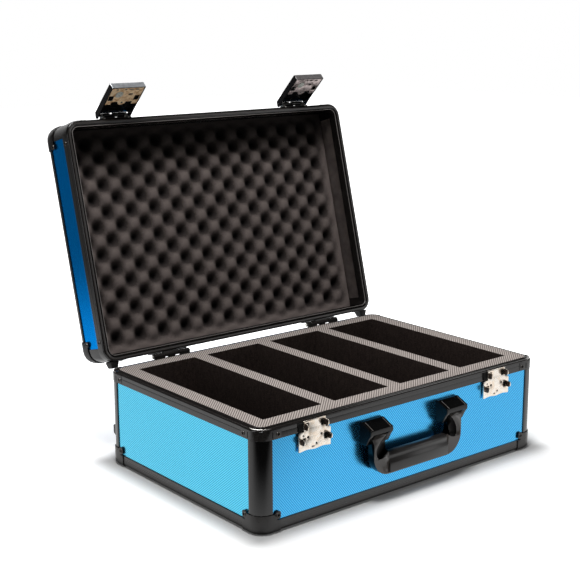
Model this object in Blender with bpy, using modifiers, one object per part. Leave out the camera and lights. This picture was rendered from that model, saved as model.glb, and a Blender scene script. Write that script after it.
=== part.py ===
"""Storage case for graded card slabs, modelled open, in metres with +Z up.

The origin is the middle of the base's footprint on the surface it stands on. The long front is at -Y.
Pieces of the lid are placed where they lie when it is shut, then carried open by the lid's pivot.
"""

import math
from collections import namedtuple

import bmesh
import bpy
from mathutils import Matrix, Vector

# Overall sizes
CASE_LENGTH = 0.490
CASE_DEPTH = 0.332
RIM_HEIGHT = 0.1318
LID_HEIGHT = 0.066
CORNER_RADIUS = 0.018
LID_OPEN = math.radians(104.7)
LATCH_OPEN = math.radians(30)
ARC_STEPS = 5
CASTING_STEPS = 6
EDGE_STEPS = 4
ROUND_STEPS = 12
SCOOP_STEPS = 14

# Clearances
GAP = 0.0003
OVERRUN = 0.006
MERGE_DISTANCE = 0.000001

# Wall panels and the slots that hold them
PANEL_THICKNESS = 0.005
PANEL_RECESS = 0.0012
SLOT_DEPTH = 0.004
RAIL_WALL = 0.0012
SLOT_OUTER = PANEL_RECESS - GAP
SLOT_INNER = PANEL_RECESS + PANEL_THICKNESS + GAP
WALL_INNER = SLOT_INNER + RAIL_WALL
BOARD_THICKNESS = 0.004

# Corner caps
CAP_THICKNESS = 0.001
CAP_REACH = 0.0316
CAP_COLLAR_REACH = 0.0262
CAP_COLLAR_HEIGHT = 0.0245
CAP_EAR_FOOT = 0.0175
CAP_EAR_TOP = 0.0274
CAP_EAR_ROOT = 0.0235
CAP_EAR_RADIUS = 0.0028
CAP_SOLE_REACH = 0.014

# Lower rails and posts of the base
RAIL_BOTTOM = CAP_THICKNESS + GAP
RAIL_TOP = 0.0158
RAIL_EDGE_RADIUS = 0.004
RAIL_FLANGE = 0.016
POST_REACH = 0.0205

# Rim of the base
RIM_FLANGE = 0.0146
RIM_LIP_RADIUS = 0.0018
RIM_LIP_WIDTH = 0.0040
RIM_LEDGE_DROP = 0.0020
RIM_TONGUE_OUTER = 0.0064
RIM_TONGUE_RISE = 0.0004
RIM_LINE_DROP = 0.0068
RIM_LINE_WIDTH = 0.0007
RIM_LINE_DEPTH = 0.0005

# Lid rim, posts and rails
LID_RIM_FLANGE = 0.0155
LID_RIM_WIDTH = 0.0086
LID_RIM_STEP = 0.0056
LID_RIM_STEP_RISE = 0.0014
LID_RAIL_HEIGHT = 0.014
LID_RAIL_FLANGE = 0.017
LID_EDGE_RADIUS = 0.012
LID_POST_PIN_PLACE = 0.0065
LID_POST_PIN_RADIUS = 0.0012
LID_POST_PIN_RISE = 0.003

# Cast corner plates of both rims, let into the rim past its line
CASTING_REACH = 0.0334
CASTING_THICKNESS = 0.0005
CASTING_ROOT = 0.00075
CASTING_LIP_DROP = 0.0026
CASTING_FOOT = 0.0004

# Foam block with lanes for the slabs
FOAM_CLEARANCE = 0.0006
FOAM_STAND = 0.0008
LANE_WIDTH = 0.0915
LANE_MARGIN = 0.030
LANE_DIVIDER_LEAST = 0.012
LANE_DEPTH = 0.0975

# Egg-crate sheet in the lid
EGG_PITCH = 0.039
EGG_SWELL = 0.0065
EGG_THICKNESS = 0.0125

# Butt hinges behind the case
HINGE_FROM_END = 0.105
HINGE_SETBACK = 0.00474
HINGE_RISE = 0.00156
HINGE_WIDTH = 0.060
HINGE_LEAF = 0.0015
HINGE_LEAF_REACH = 0.0120
HINGE_KNUCKLE_RADIUS = 0.0032
HINGE_PIN_RADIUS = 0.0014
HINGE_HEAD_RADIUS = 0.0023
HINGE_HEAD = 0.0012
HINGE_LID_KNUCKLE_SHARE = 0.4
HINGE_STOP_REACH = 0.0042
HINGE_STOP_THICKNESS = 0.0018
HINGE_STOP_WIDTH = 0.012

# Feet on the hinge side
FOOT_LENGTH = 0.016
FOOT_WIDTH = 0.014
FOOT_HEIGHT = 0.0095
FOOT_TAPER = 0.0022
FOOT_END_INSET = 0.008
LID_FOOT_RISE = 0.0022
BASE_FOOT_RISE = 0.034

# Latches: covers on the lid, keepers on the base
LATCH_FROM_END = 0.0835
LATCH_PIVOT_RISE = 0.0125
LATCH_PIVOT_STAND = 0.0065
COVER_WIDTH = 0.054
COVER_LENGTH = 0.0645
COVER_STAND = 0.0030
COVER_DEPTH = 0.0093
COVER_WALL = 0.0012
COVER_ROOT_RADIUS = 0.0042
COVER_EDGE_BEVEL = 0.0016
COVER_SHOULDER = 0.012
LATCH_PIN_RADIUS = 0.0015
BRACKET_WIDTH = 0.048
BRACKET_LOW = 0.0045
BRACKET_HIGH = 0.026
BRACKET_PLATE = 0.0015
BRACKET_LUG_PLACE = 0.0195
BRACKET_LUG_WIDTH = 0.0020
BRACKET_LUG_RADIUS = 0.0030
KNUCKLE_RADIUS = 0.0030
KNUCKLES = ((-0.0170, 0.0015), (0.0065, 0.0170))
LOCK_PLATE_LENGTH = 0.033
LOCK_PLATE_THICKNESS = 0.0012
LOCK_PLATE_RECESS = 0.0006
LOCK_PLATE_SIDE_GAP = 0.0003
LOCK_PLATE_LOBE = 0.0065
LOCK_PLATE_NOTCH = 0.0050
LOCK_PLATE_NOTCH_HALF = 0.0165
LOCK_HOLE_WIDTH = 0.0080
LOCK_HOLE_HEIGHT = 0.0096
LOCK_HOLE_PLACE = 0.0205
CYLINDER_RADIUS = 0.0056
CYLINDER_SIDE = 0.010
CYLINDER_FROM_TIP = 0.0144
CYLINDER_PROUD = 0.0007
CYLINDER_LIP = 0.0010
CYLINDER_LIP_HEIGHT = 0.0008
KEYWAY_WIDTH = 0.0012
KEYWAY_LENGTH = 0.0062
KEYWAY_DEPTH = 0.0040
CAM_REACH = 0.0090
CAM_WIDTH = 0.0050
CAM_THICKNESS = 0.0015
CAM_STAND = 0.0016

# Keeper plates
KEEPER_THICKNESS = 0.0020
KEEPER_WIDTH = 0.050
KEEPER_DROP = 0.0388
KEEPER_TOP_DROP = 0.0013
KEEPER_TONGUE_WIDTH = 0.034
KEEPER_LOBES = 4
KEEPER_SCALLOP = 0.0022
KEEPER_CORNER = 0.0035
EAR_DROP = 0.0258
EAR_TALL = 0.0076
EAR_THICKNESS = 0.0016
EAR_PLACE = 0.0213
EAR_STAND = 0.0092
EAR_WINDOW = 0.0062
EAR_TIP_RADIUS = 0.0030
CLIP_PLACE = 0.0158
CLIP_DROP = 0.0078
CLIP_TALL = 0.0080
CLIP_WINDOW = 0.0056

# Handle: heights of bail and grip from the bail's bottom, heights of the brackets from the pivot
HANDLE_PIVOT_DROP = 0.0443
HANDLE_PIVOT_STAND = 0.0095
ARM_PLACE = 0.0673
ARM_WIDTH = 0.021
ARM_FRONT = 0.0170
ARM_BACK = 0.0060
ARM_END_RADIUS = 0.0075
BAIL_DROP = 0.0495
BAIL_CORNER_RADIUS = 0.026
BAIL_BAR_HEIGHT = 0.0200
BAIL_STRIP = 0.0018
BAIL_BAR_FRONT = 0.0150
BAIL_BAR_BACK = 0.0080
TRUNNION_RADIUS = 0.0030
TRUNNION_LENGTH = 0.0050
SCOOP_WIDTH = 0.0095
SCOOP_HEIGHT = 0.0180
SCOOP_DEPTH = 0.0036
SCOOP_DROP = 0.0125
SCOOP_INSET = 0.0060
SCOOP_TILT = math.radians(39)
HANDLE_RUN = 0.0004
GRIP_LENGTH = 0.104
GRIP_HEIGHT = 0.0282
GRIP_FRONT = 0.0195
GRIP_FACE_HEIGHT = 0.0150
GRIP_VALLEY_HEIGHT = 0.0192
GRIP_VALLEY_STAND = 0.0172
GRIP_CROWN_STAND = 0.0168
GRIP_CROWN_HEIGHT = 0.0220
GRIP_CROWN_FRONT = 0.0140
GRIP_CROWN_SHOULDER = 0.0265
GRIP_BACK = 0.0045
GRIP_BACK_SHOULDER = 0.0220
GRIP_BACK_CROWN = 0.0070
GRIP_BACK_CROWN_HEIGHT = 0.0270
BRACKET_BLOCK_WIDTH = 0.038
BRACKET_BLOCK_RISE = 0.0215
BRACKET_BLOCK_DROP = 0.0070
BRACKET_ROOF_FLAT = 0.0030
BRACKET_LIP_STAND = 0.0200
BRACKET_LIP_TOP_RISE = 0.0138
BRACKET_LIP_RISE = 0.0082
BRACKET_CHEEK_STAND = 0.0165
BRACKET_CHEEK_RISE = 0.0033
BRACKET_CHEEK_FOOT = 0.0112
BRACKET_BEVEL = 0.0011

HALF_LENGTH = CASE_LENGTH / 2
HALF_DEPTH = CASE_DEPTH / 2
LID_TOP = RIM_HEIGHT + LID_HEIGHT
RIM_UNDERSIDE = RIM_HEIGHT - RIM_FLANGE
BOARD_SLOT_INNER = PANEL_RECESS + BOARD_THICKNESS + GAP
PANEL_END = POST_REACH - SLOT_DEPTH + GAP
LANE_COUNT = int((CASE_LENGTH - 2 * LANE_MARGIN + LANE_DIVIDER_LEAST) / (LANE_WIDTH + LANE_DIVIDER_LEAST))
HINGE_PLACE = HALF_LENGTH - HINGE_FROM_END
LATCH_PLACE = HALF_LENGTH - LATCH_FROM_END
KEEPER_BOTTOM = RIM_HEIGHT - KEEPER_DROP
KEEPER_SHOULDER = RIM_UNDERSIDE
KEEPER_TOP = RIM_HEIGHT - KEEPER_TOP_DROP
KEEPER_EAR_HEIGHT = RIM_HEIGHT - EAR_DROP
CLIP_HEIGHT = RIM_HEIGHT - CLIP_DROP
HANDLE_PIVOT_HEIGHT = RIM_HEIGHT - HANDLE_PIVOT_DROP
BAIL_BOTTOM = HANDLE_PIVOT_HEIGHT - BAIL_DROP
BAIL_BAR_TOP = BAIL_BOTTOM + BAIL_BAR_HEIGHT
GRIP_TOP = BAIL_BOTTOM + GRIP_HEIGHT
LATCH_PIVOT_HEIGHT = RIM_HEIGHT + LATCH_PIVOT_RISE
COVER_TOP = LATCH_PIVOT_HEIGHT + COVER_ROOT_RADIUS
COVER_TIP = COVER_TOP - COVER_LENGTH
COVER_FACE = COVER_STAND + COVER_DEPTH

ALONG_X = Vector((1, 0, 0))
ALONG_Y = Vector((0, 1, 0))
UP = Vector((0, 0, 1))

Finish = namedtuple("Finish", "name colour roughness metallic")

BLUE_SKIN = Finish("blue_textured_skin", (0.03, 0.32, 0.74, 1), 0.38, 0.25)
BLACK_RAIL = Finish("black_anodised_aluminium", (0.035, 0.032, 0.032, 1), 0.38, 0.6)
BLACK_CAP = Finish("black_steel_cap", (0.04, 0.037, 0.036, 1), 0.45, 0.5)
BLACK_PLASTIC = Finish("black_moulded_plastic", (0.02, 0.019, 0.019, 1), 0.35, 0.0)
NICKEL = Finish("nickel_plated_steel", (0.75, 0.69, 0.62, 1), 0.28, 0.95)
DARK_STEEL = Finish("dark_latch_steel", (0.05, 0.05, 0.05, 1), 0.35, 0.85)
BOARD = Finish("floor_board_skin", (0.03, 0.03, 0.032, 1), 0.6, 0.0)
GREY_FOAM = Finish("grey_foam", (0.17, 0.155, 0.15, 1), 0.95, 0.0)
LID_FOAM = Finish("egg_crate_foam", (0.06, 0.057, 0.057, 1), 0.95, 0.0)
RUBBER = Finish("black_rubber", (0.015, 0.015, 0.015, 1), 0.7, 0.0)


class Carrier:
    """An empty on a joint's axis. Its axis point is given where it lies when the case is shut."""

    def __init__(self, name, axis_point, turn, parent=None):
        self.axis_point = Vector(axis_point)
        self.empty = bpy.data.objects.new(name, None)
        self.empty.rotation_euler.x = -turn
        start = parent.axis_point if parent else Vector()
        self.empty.location = self.axis_point - start
        self.empty.parent = parent.empty if parent else None
        part_collection.objects.link(self.empty)


def clear_scene():
    """Removes what the scene holds and returns the part's collection and the one for cutters."""
    for old in list(bpy.data.objects):
        bpy.data.objects.remove(old, do_unlink=True)
    collections = []
    scene_children = bpy.context.scene.collection.children
    for name in ("graded_card_storage_case", "cutters"):
        collection = bpy.data.collections.get(name) or bpy.data.collections.new(name)
        if name not in scene_children:
            scene_children.link(collection)
        collections.append(collection)
    return collections


def material_of(finish):
    """The Principled material of a finish, made once."""
    material = bpy.data.materials.get(finish.name)
    if material is None:
        material = bpy.data.materials.new(finish.name)
        material.use_nodes = True
        shader = material.node_tree.nodes["Principled BSDF"]
        shader.inputs["Base Color"].default_value = finish.colour
        shader.inputs["Roughness"].default_value = finish.roughness
        shader.inputs["Metallic"].default_value = finish.metallic
    return material


def add_piece(name, mesh, finish, place=Matrix(), carrier=None):
    """Links one named piece. place is its position with the case shut."""
    piece = bpy.data.objects.new(name, mesh)
    if not mesh.materials:
        mesh.materials.append(material_of(finish))
    part_collection.objects.link(piece)
    seat(piece, place, carrier)
    return piece


def add_cutter(name, mesh, place=Matrix(), carrier=None):
    """Links a hidden cutter, or a hidden shape to be joined on."""
    cutter = bpy.data.objects.new(name, mesh)
    cutter_collection.objects.link(cutter)
    cutter.hide_render = True
    cutter.display_type = "WIRE"
    seat(cutter, place, carrier)
    return cutter


def seat(thing, place, carrier):
    """Puts an object at its shut place, under the pivot that carries it."""
    if carrier:
        thing.parent = carrier.empty
        thing.matrix_basis = Matrix.Translation(-carrier.axis_point) @ place
    else:
        thing.matrix_basis = place


def boolean(piece, tool, operation="DIFFERENCE"):
    """Adds an exact boolean of the tool to the piece."""
    modifier = piece.modifiers.new(tool.name, "BOOLEAN")
    modifier.operation = operation
    modifier.solver = "EXACT"
    modifier.object = tool


def bevel(piece, width, segments=2, angle=math.radians(40)):
    """Rounds the piece's sharp edges."""
    modifier = piece.modifiers.new("edges", "BEVEL")
    modifier.width = width
    modifier.segments = segments
    modifier.limit_method = "ANGLE"
    modifier.angle_limit = angle


def smooth(mesh, angle=math.radians(35)):
    """Shades round faces smooth and keeps the real edges sharp."""
    mesh.shade_smooth()
    mesh.set_sharp_from_angle(angle=angle)
    return mesh


def axes(origin, x_axis, y_axis):
    """The placement that turns an outline's X and Y to the given directions."""
    turn = Matrix((x_axis, y_axis, x_axis.cross(y_axis))).transposed().to_4x4()
    return Matrix.Translation(Vector(origin)) @ turn


def outline_mesh(name, loops, thickness, start=0):
    """A flat outline, with any holes, drawn as a 2D curve and given thickness from start along Z."""
    curve = bpy.data.curves.new(name, "CURVE")
    curve.dimensions = "2D"
    curve.fill_mode = "BOTH"
    curve.extrude = thickness / 2
    for loop in loops:
        spline = curve.splines.new("POLY")
        spline.points.add(len(loop) - 1)
        for point, (x, y) in zip(spline.points, loop):
            point.co = (x, y, 0, 1)
        spline.use_cyclic_u = True
    drawn = bpy.data.objects.new(name, curve)
    bpy.context.scene.collection.objects.link(drawn)
    mesh = solid_from_curve(drawn)
    mesh.transform(Matrix.Translation((0, 0, start + thickness / 2)))
    return mesh


def solid_from_curve(drawn):
    """The closed mesh of a curve object, which is then removed."""
    bpy.context.view_layer.update()
    evaluated = drawn.evaluated_get(bpy.context.evaluated_depsgraph_get())
    mesh = bpy.data.meshes.new_from_object(evaluated)
    curve = drawn.data
    bpy.data.objects.remove(drawn, do_unlink=True)
    bpy.data.curves.remove(curve)
    work = bmesh.new()
    work.from_mesh(mesh)
    bmesh.ops.remove_doubles(work, verts=work.verts, dist=MERGE_DISTANCE)
    bmesh.ops.dissolve_degenerate(work, edges=work.edges, dist=MERGE_DISTANCE)
    bmesh.ops.recalc_face_normals(work, faces=work.faces)
    work.to_mesh(mesh)
    work.free()
    return mesh


def finished_mesh(name, work):
    """The named mesh of a bmesh, which is then freed."""
    mesh = bpy.data.meshes.new(name)
    work.to_mesh(mesh)
    work.free()
    return mesh


def cube_between(low, high):
    """A bmesh box between two corners."""
    work = bmesh.new()
    low, high = Vector(low), Vector(high)
    place = Matrix.LocRotScale((low + high) / 2, None, high - low)
    bmesh.ops.create_cube(work, size=1, matrix=place)
    return work


def box_mesh(name, low, high):
    """A box between two corners."""
    return finished_mesh(name, cube_between(low, high))


def rod_mesh(name, radius, start, end, segments=ROUND_STEPS):
    """A round bar along Z from start to end."""
    work = bmesh.new()
    middle = Matrix.Translation((0, 0, (start + end) / 2))
    bmesh.ops.create_cone(work, cap_ends=True, segments=segments, radius1=radius, radius2=radius,
                          depth=end - start, matrix=middle)
    return smooth(finished_mesh(name, work))


def arc(centre, radius, start, end, steps=ARC_STEPS):
    """Points of an arc in the plane, from one angle to another, in degrees."""
    points = []
    for step in range(steps + 1):
        angle = math.radians(start + (end - start) * step / steps)
        points.append((centre[0] + radius * math.cos(angle), centre[1] + radius * math.sin(angle)))
    return points


def rounded_rectangle(half_x, half_y, radius, steps=ARC_STEPS):
    """The outline of a rectangle with round corners."""
    points = []
    for turn, (side_x, side_y) in enumerate(((1, 1), (-1, 1), (-1, -1), (1, -1))):
        centre = (side_x * (half_x - radius), side_y * (half_y - radius))
        points += arc(centre, radius, turn * 90, turn * 90 + 90, steps)
    return points


def rectangle(low, high):
    """The outline of a plain rectangle."""
    return [(low[0], low[1]), (high[0], low[1]), (high[0], high[1]), (low[0], high[1])]


CORNERS = (("front_left", -1, -1, 0), ("front_right", 1, -1, 90), ("rear_right", 1, 1, 180),
           ("rear_left", -1, 1, 270))
SIDES = (("front", 0), ("right", 90), ("rear", 180), ("left", 270))


def corner_place(side_x, side_y, turn, height):
    """Placement of a corner piece whose own +X and +Y run inward from the case's corner."""
    spot = Matrix.Translation((side_x * HALF_LENGTH, side_y * HALF_DEPTH, height))
    return spot @ Matrix.Rotation(math.radians(turn), 4, "Z")


def side_place(turn, height):
    """Placement of a section whose X runs inward, Y up and Z along the side."""
    reach = HALF_DEPTH if turn % 180 == 0 else HALF_LENGTH
    spin = Matrix.Rotation(math.radians(turn), 4, "Z")
    return spin @ axes((0, -reach, height), ALONG_Y, UP)


def side_run(turn, inset):
    """Half the run of a piece along a side that stops short of both ends by inset."""
    reach = HALF_LENGTH if turn % 180 == 0 else HALF_DEPTH
    return reach - inset


def edge_rail_section(height, edge_radius, flange):
    """Double-slot edge rail: X inward from the wall's face, Y inward from the floor's or top's face."""
    slot_bottom = height - SLOT_DEPTH
    inner_top = BOARD_SLOT_INNER + RAIL_WALL
    board_slot_end = flange - SLOT_DEPTH
    points = [(0, height), (SLOT_OUTER, height), (SLOT_OUTER, slot_bottom), (SLOT_INNER, slot_bottom)]
    points += [(SLOT_INNER, height), (WALL_INNER, height), (WALL_INNER, inner_top), (flange, inner_top)]
    points += [(flange, BOARD_SLOT_INNER), (board_slot_end, BOARD_SLOT_INNER), (board_slot_end, SLOT_OUTER)]
    points += [(flange, SLOT_OUTER), (flange, 0)]
    points += arc((edge_radius, edge_radius), edge_radius, 270, 180, EDGE_STEPS)
    return points


def post_section():
    """Corner extrusion: round outside, with a slot for the panel on each side."""
    slot_end = POST_REACH - SLOT_DEPTH
    side = [(POST_REACH, WALL_INNER), (POST_REACH, SLOT_INNER), (slot_end, SLOT_INNER)]
    side += [(slot_end, SLOT_OUTER), (POST_REACH, SLOT_OUTER), (POST_REACH, 0)]
    other = [(y, x) for x, y in reversed(side)]
    outside = arc((CORNER_RADIUS, CORNER_RADIUS), CORNER_RADIUS, 270, 180)
    return side + outside + other + [(WALL_INNER, WALL_INNER)]


def swept_rim(name, section):
    """A closed frame: the section, X inward from the outer face, run round the case's outline."""
    profile = bpy.data.curves.new(name + "_section", "CURVE")
    profile.dimensions = "2D"
    spline = profile.splines.new("POLY")
    spline.points.add(len(section) - 1)
    for point, (inward, height) in zip(spline.points, section):
        point.co = (-inward, height, 0, 1)
    spline.use_cyclic_u = True
    profile_object = bpy.data.objects.new(name + "_section", profile)
    bpy.context.scene.collection.objects.link(profile_object)

    path = bpy.data.curves.new(name, "CURVE")
    path.dimensions = "3D"
    path.twist_mode = "Z_UP"
    path.fill_mode = "FULL"
    route = rounded_rectangle(HALF_LENGTH, HALF_DEPTH, CORNER_RADIUS)
    spline = path.splines.new("POLY")
    spline.points.add(len(route) - 1)
    for point, (x, y) in zip(spline.points, route):
        point.co = (x, y, 0, 1)
    spline.use_cyclic_u = True
    path.bevel_mode = "OBJECT"
    path.bevel_object = profile_object
    drawn = bpy.data.objects.new(name, path)
    bpy.context.scene.collection.objects.link(drawn)
    mesh = solid_from_curve(drawn)
    bpy.data.objects.remove(profile_object, do_unlink=True)
    bpy.data.curves.remove(profile)
    return smooth(mesh)


def base_rim_section():
    """Section of the base's rim, heights from the plane where lid and base meet."""
    lip_top = -GAP
    line_top = -RIM_LINE_DROP
    line_bottom = line_top - RIM_LINE_WIDTH
    slot_top = SLOT_DEPTH - RIM_FLANGE
    tongue_inner = RIM_TONGUE_OUTER + RAIL_WALL
    points = [(0, -RIM_FLANGE), (0, line_bottom), (RIM_LINE_DEPTH, line_bottom), (RIM_LINE_DEPTH, line_top)]
    points += [(0, line_top)]
    points += arc((RIM_LIP_RADIUS, lip_top - RIM_LIP_RADIUS), RIM_LIP_RADIUS, 180, 90, ARC_STEPS // 2)
    points += [(RIM_LIP_WIDTH, lip_top), (RIM_LIP_WIDTH, -RIM_LEDGE_DROP)]
    points += [(RIM_TONGUE_OUTER, -RIM_LEDGE_DROP), (RIM_TONGUE_OUTER, RIM_TONGUE_RISE)]
    points += [(tongue_inner, RIM_TONGUE_RISE), (tongue_inner, -RIM_FLANGE)]
    points += [(SLOT_INNER, -RIM_FLANGE), (SLOT_INNER, slot_top), (SLOT_OUTER, slot_top)]
    points += [(SLOT_OUTER, -RIM_FLANGE)]
    return points


def lid_rim_section():
    """Section of the lid's rim, with a step that clears the base's tongue."""
    line_bottom = RIM_LINE_DROP
    line_top = line_bottom + RIM_LINE_WIDTH
    slot_bottom = LID_RIM_FLANGE - SLOT_DEPTH
    points = arc((RIM_LIP_RADIUS, GAP + RIM_LIP_RADIUS), RIM_LIP_RADIUS, 270, 180, ARC_STEPS // 2)
    points += [(0, line_bottom), (RIM_LINE_DEPTH, line_bottom), (RIM_LINE_DEPTH, line_top), (0, line_top)]
    points += [(0, LID_RIM_FLANGE), (SLOT_OUTER, LID_RIM_FLANGE), (SLOT_OUTER, slot_bottom)]
    points += [(SLOT_INNER, slot_bottom), (SLOT_INNER, LID_RIM_FLANGE), (LID_RIM_WIDTH, LID_RIM_FLANGE)]
    points += [(LID_RIM_WIDTH, LID_RIM_STEP_RISE), (LID_RIM_STEP, LID_RIM_STEP_RISE), (LID_RIM_STEP, GAP)]
    return points


def corner_block(name, margin, reach, height, edge_radius):
    """A block at the case's corner with a round upright edge and round lower edges."""
    work = cube_between((-margin, -margin, -margin), (reach, reach, height))

    def on(vertex, axis):
        return abs(vertex.co[axis] + margin) < MERGE_DISTANCE

    upright = [edge for edge in work.edges if all(on(v, 0) and on(v, 1) for v in edge.verts)]
    bmesh.ops.bevel(work, geom=upright, offset=CORNER_RADIUS + margin, segments=ARC_STEPS, profile=0.5,
                    affect="EDGES", offset_type="OFFSET", material=-1)
    outside = [edge for edge in work.edges if all(on(v, 2) for v in edge.verts)
               and any(abs(face.normal.z) < 0.5 and (face.normal.x < -0.05 or face.normal.y < -0.05)
                       for face in edge.link_faces)]
    bmesh.ops.bevel(work, geom=outside, offset=edge_radius + margin, segments=EDGE_STEPS, profile=0.5,
                    affect="EDGES", offset_type="OFFSET", material=-1)
    return finished_mesh(name, work)


def cap_mesh(name, edge_radius):
    """Pressed corner cap with a riveted ear on each side, drawn at a lower corner."""
    shell = corner_block(name, CAP_THICKNESS + GAP, CAP_REACH, CAP_COLLAR_HEIGHT - RAIL_BOTTOM, edge_radius)
    cap = add_cutter(name, shell)
    inner_reach = CAP_REACH + OVERRUN
    inner = corner_block(name + "_inside", GAP, inner_reach, CAP_COLLAR_HEIGHT + OVERRUN, edge_radius)
    boolean(cap, add_cutter(name + "_inside", inner))
    waist = RAIL_TOP - RAIL_BOTTOM + GAP
    above = CAP_COLLAR_HEIGHT + OVERRUN
    outside = -CAP_THICKNESS - OVERRUN
    for turned, label in ((False, "side"), (True, "end")):
        low = Vector((CAP_COLLAR_REACH, outside, waist))
        high = Vector((inner_reach, OVERRUN, above))
        if turned:
            low.x, low.y = low.y, low.x
            high.x, high.y = high.y, high.x
        boolean(cap, add_cutter(name + "_slit_" + label, box_mesh(name + "_slit_" + label, low, high)))
    sole = [(CAP_REACH + OVERRUN, CAP_SOLE_REACH), (CAP_REACH + OVERRUN, CAP_REACH + OVERRUN)]
    sole += [(CAP_SOLE_REACH, CAP_REACH + OVERRUN)]
    trim = outline_mesh(name + "_sole", [sole], 2 * OVERRUN, -OVERRUN)
    boolean(cap, add_cutter(name + "_sole", trim))
    ear_low = CAP_EAR_FOOT - RAIL_BOTTOM
    ear_high = CAP_EAR_TOP - RAIL_BOTTOM
    half = (CAP_REACH - CAP_EAR_ROOT) / 2
    tall = (ear_high - ear_low) / 2
    middle = Vector(((CAP_REACH + CAP_EAR_ROOT) / 2, 0, (ear_high + ear_low) / 2))
    ear = rounded_rectangle(half, tall, CAP_EAR_RADIUS, ARC_STEPS // 2)
    side_ear = outline_mesh(name + "_ear_side", [ear], CAP_THICKNESS, GAP)
    boolean(cap, add_cutter(name + "_ear_side", side_ear, axes(middle, ALONG_X, UP)), "UNION")
    end_ear = outline_mesh(name + "_ear_end", [ear], CAP_THICKNESS, -GAP - CAP_THICKNESS)
    other = Vector((0, middle.x, middle.z))
    boolean(cap, add_cutter(name + "_ear_end", end_ear, axes(other, ALONG_Y, UP)), "UNION")
    return smooth(evaluated_mesh(cap))


def evaluated_mesh(source):
    """The mesh of an object with its modifiers applied."""
    bpy.context.view_layer.update()
    return bpy.data.meshes.new_from_object(source.evaluated_get(bpy.context.evaluated_depsgraph_get()))


def corner_castings(rim, name, low, high, carrier=None):
    """Joins a bent plate to a rim round each of its corners, between two heights."""
    centre = (CORNER_RADIUS, CORNER_RADIUS)
    outer = [(CASTING_REACH, -CASTING_THICKNESS)]
    outer += arc(centre, CORNER_RADIUS + CASTING_THICKNESS, 270, 180, CASTING_STEPS)
    outer += [(-CASTING_THICKNESS, CASTING_REACH)]
    inner = [(CASTING_ROOT, CASTING_REACH)]
    inner += arc(centre, CORNER_RADIUS - CASTING_ROOT, 180, 270, CASTING_STEPS)
    inner += [(CASTING_REACH, CASTING_ROOT)]
    plate = outline_mesh(name, [outer + inner], high - low)
    for corner, side_x, side_y, turn in CORNERS:
        place = corner_place(side_x, side_y, turn, low)
        boolean(rim, add_cutter(f"{name}_{corner}", plate, place, carrier), "UNION")


def build_base_frame():
    """Rails, posts, caps, panels and rim of the base."""
    rail_height = RAIL_TOP - RAIL_BOTTOM
    section = edge_rail_section(rail_height, RAIL_EDGE_RADIUS, RAIL_FLANGE)
    panel_low = RAIL_TOP - SLOT_DEPTH + GAP
    panel_high = RIM_UNDERSIDE + SLOT_DEPTH - GAP
    for side, turn in SIDES:
        half = side_run(turn, POST_REACH + GAP)
        rail = outline_mesh("base_lower_rail_" + side, [section], 2 * half, -half)
        add_piece("base_lower_rail_" + side, smooth(rail), BLACK_RAIL, side_place(turn, RAIL_BOTTOM))
        half = side_run(turn, PANEL_END)
        low = (PANEL_RECESS, panel_low, -half)
        high = (PANEL_RECESS + PANEL_THICKNESS, panel_high, half)
        panel = box_mesh(f"base_{side}_panel", low, high)
        add_piece(f"base_{side}_panel", panel, BLUE_SKIN, side_place(turn, 0))

    board_inset = RAIL_FLANGE - SLOT_DEPTH + GAP
    board_low = RAIL_BOTTOM + PANEL_RECESS
    board = box_mesh("base_floor_panel", (board_inset - HALF_LENGTH, board_inset - HALF_DEPTH, board_low),
                     (HALF_LENGTH - board_inset, HALF_DEPTH - board_inset, board_low + BOARD_THICKNESS))
    add_piece("base_floor_panel", board, BOARD)

    post_foot = RAIL_BOTTOM + RAIL_EDGE_RADIUS
    post = smooth(outline_mesh("base_post", [post_section()], RIM_UNDERSIDE - GAP - post_foot))
    cap = cap_mesh("base_cap_shape", RAIL_EDGE_RADIUS)
    for corner, side_x, side_y, turn in CORNERS:
        add_piece("base_post_" + corner, post, BLACK_RAIL, corner_place(side_x, side_y, turn, post_foot))
        cap_place = corner_place(side_x, side_y, turn, RAIL_BOTTOM)
        add_piece("base_corner_cap_" + corner, cap, BLACK_CAP, cap_place)
    rim = add_piece("base_rim", swept_rim("base_rim", base_rim_section()), BLACK_RAIL,
                    Matrix.Translation((0, 0, RIM_HEIGHT)))
    corner_castings(rim, "base_rim_casting", RIM_UNDERSIDE + CASTING_FOOT, RIM_HEIGHT - CASTING_LIP_DROP)


def build_base_foam():
    """Foam block with its lanes, standing on a foam pad."""
    inset = RIM_TONGUE_OUTER + RAIL_WALL + FOAM_CLEARANCE
    half_x = HALF_LENGTH - inset
    half_y = HALF_DEPTH - inset
    corner = CORNER_RADIUS - inset
    top = RIM_HEIGHT + FOAM_STAND
    lane_floor = top - LANE_DEPTH
    divider = (CASE_LENGTH - 2 * LANE_MARGIN - LANE_COUNT * LANE_WIDTH) / max(LANE_COUNT - 1, 1)
    loops = [rounded_rectangle(half_x, half_y, corner)]
    lane_half = HALF_DEPTH - LANE_MARGIN
    for lane in range(LANE_COUNT):
        left = LANE_MARGIN - HALF_LENGTH + lane * (LANE_WIDTH + divider)
        loops.append(rectangle((left, -lane_half), (left + LANE_WIDTH, lane_half)))
    block = outline_mesh("slot_foam", loops, LANE_DEPTH)
    add_piece("slot_foam", block, GREY_FOAM, Matrix.Translation((0, 0, lane_floor)))
    pad_bottom = RAIL_BOTTOM + BOARD_SLOT_INNER + RAIL_WALL + GAP
    pad = outline_mesh("foam_floor_pad", loops[:1], lane_floor - GAP - pad_bottom)
    add_piece("foam_floor_pad", pad, GREY_FOAM, Matrix.Translation((0, 0, pad_bottom)))


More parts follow.
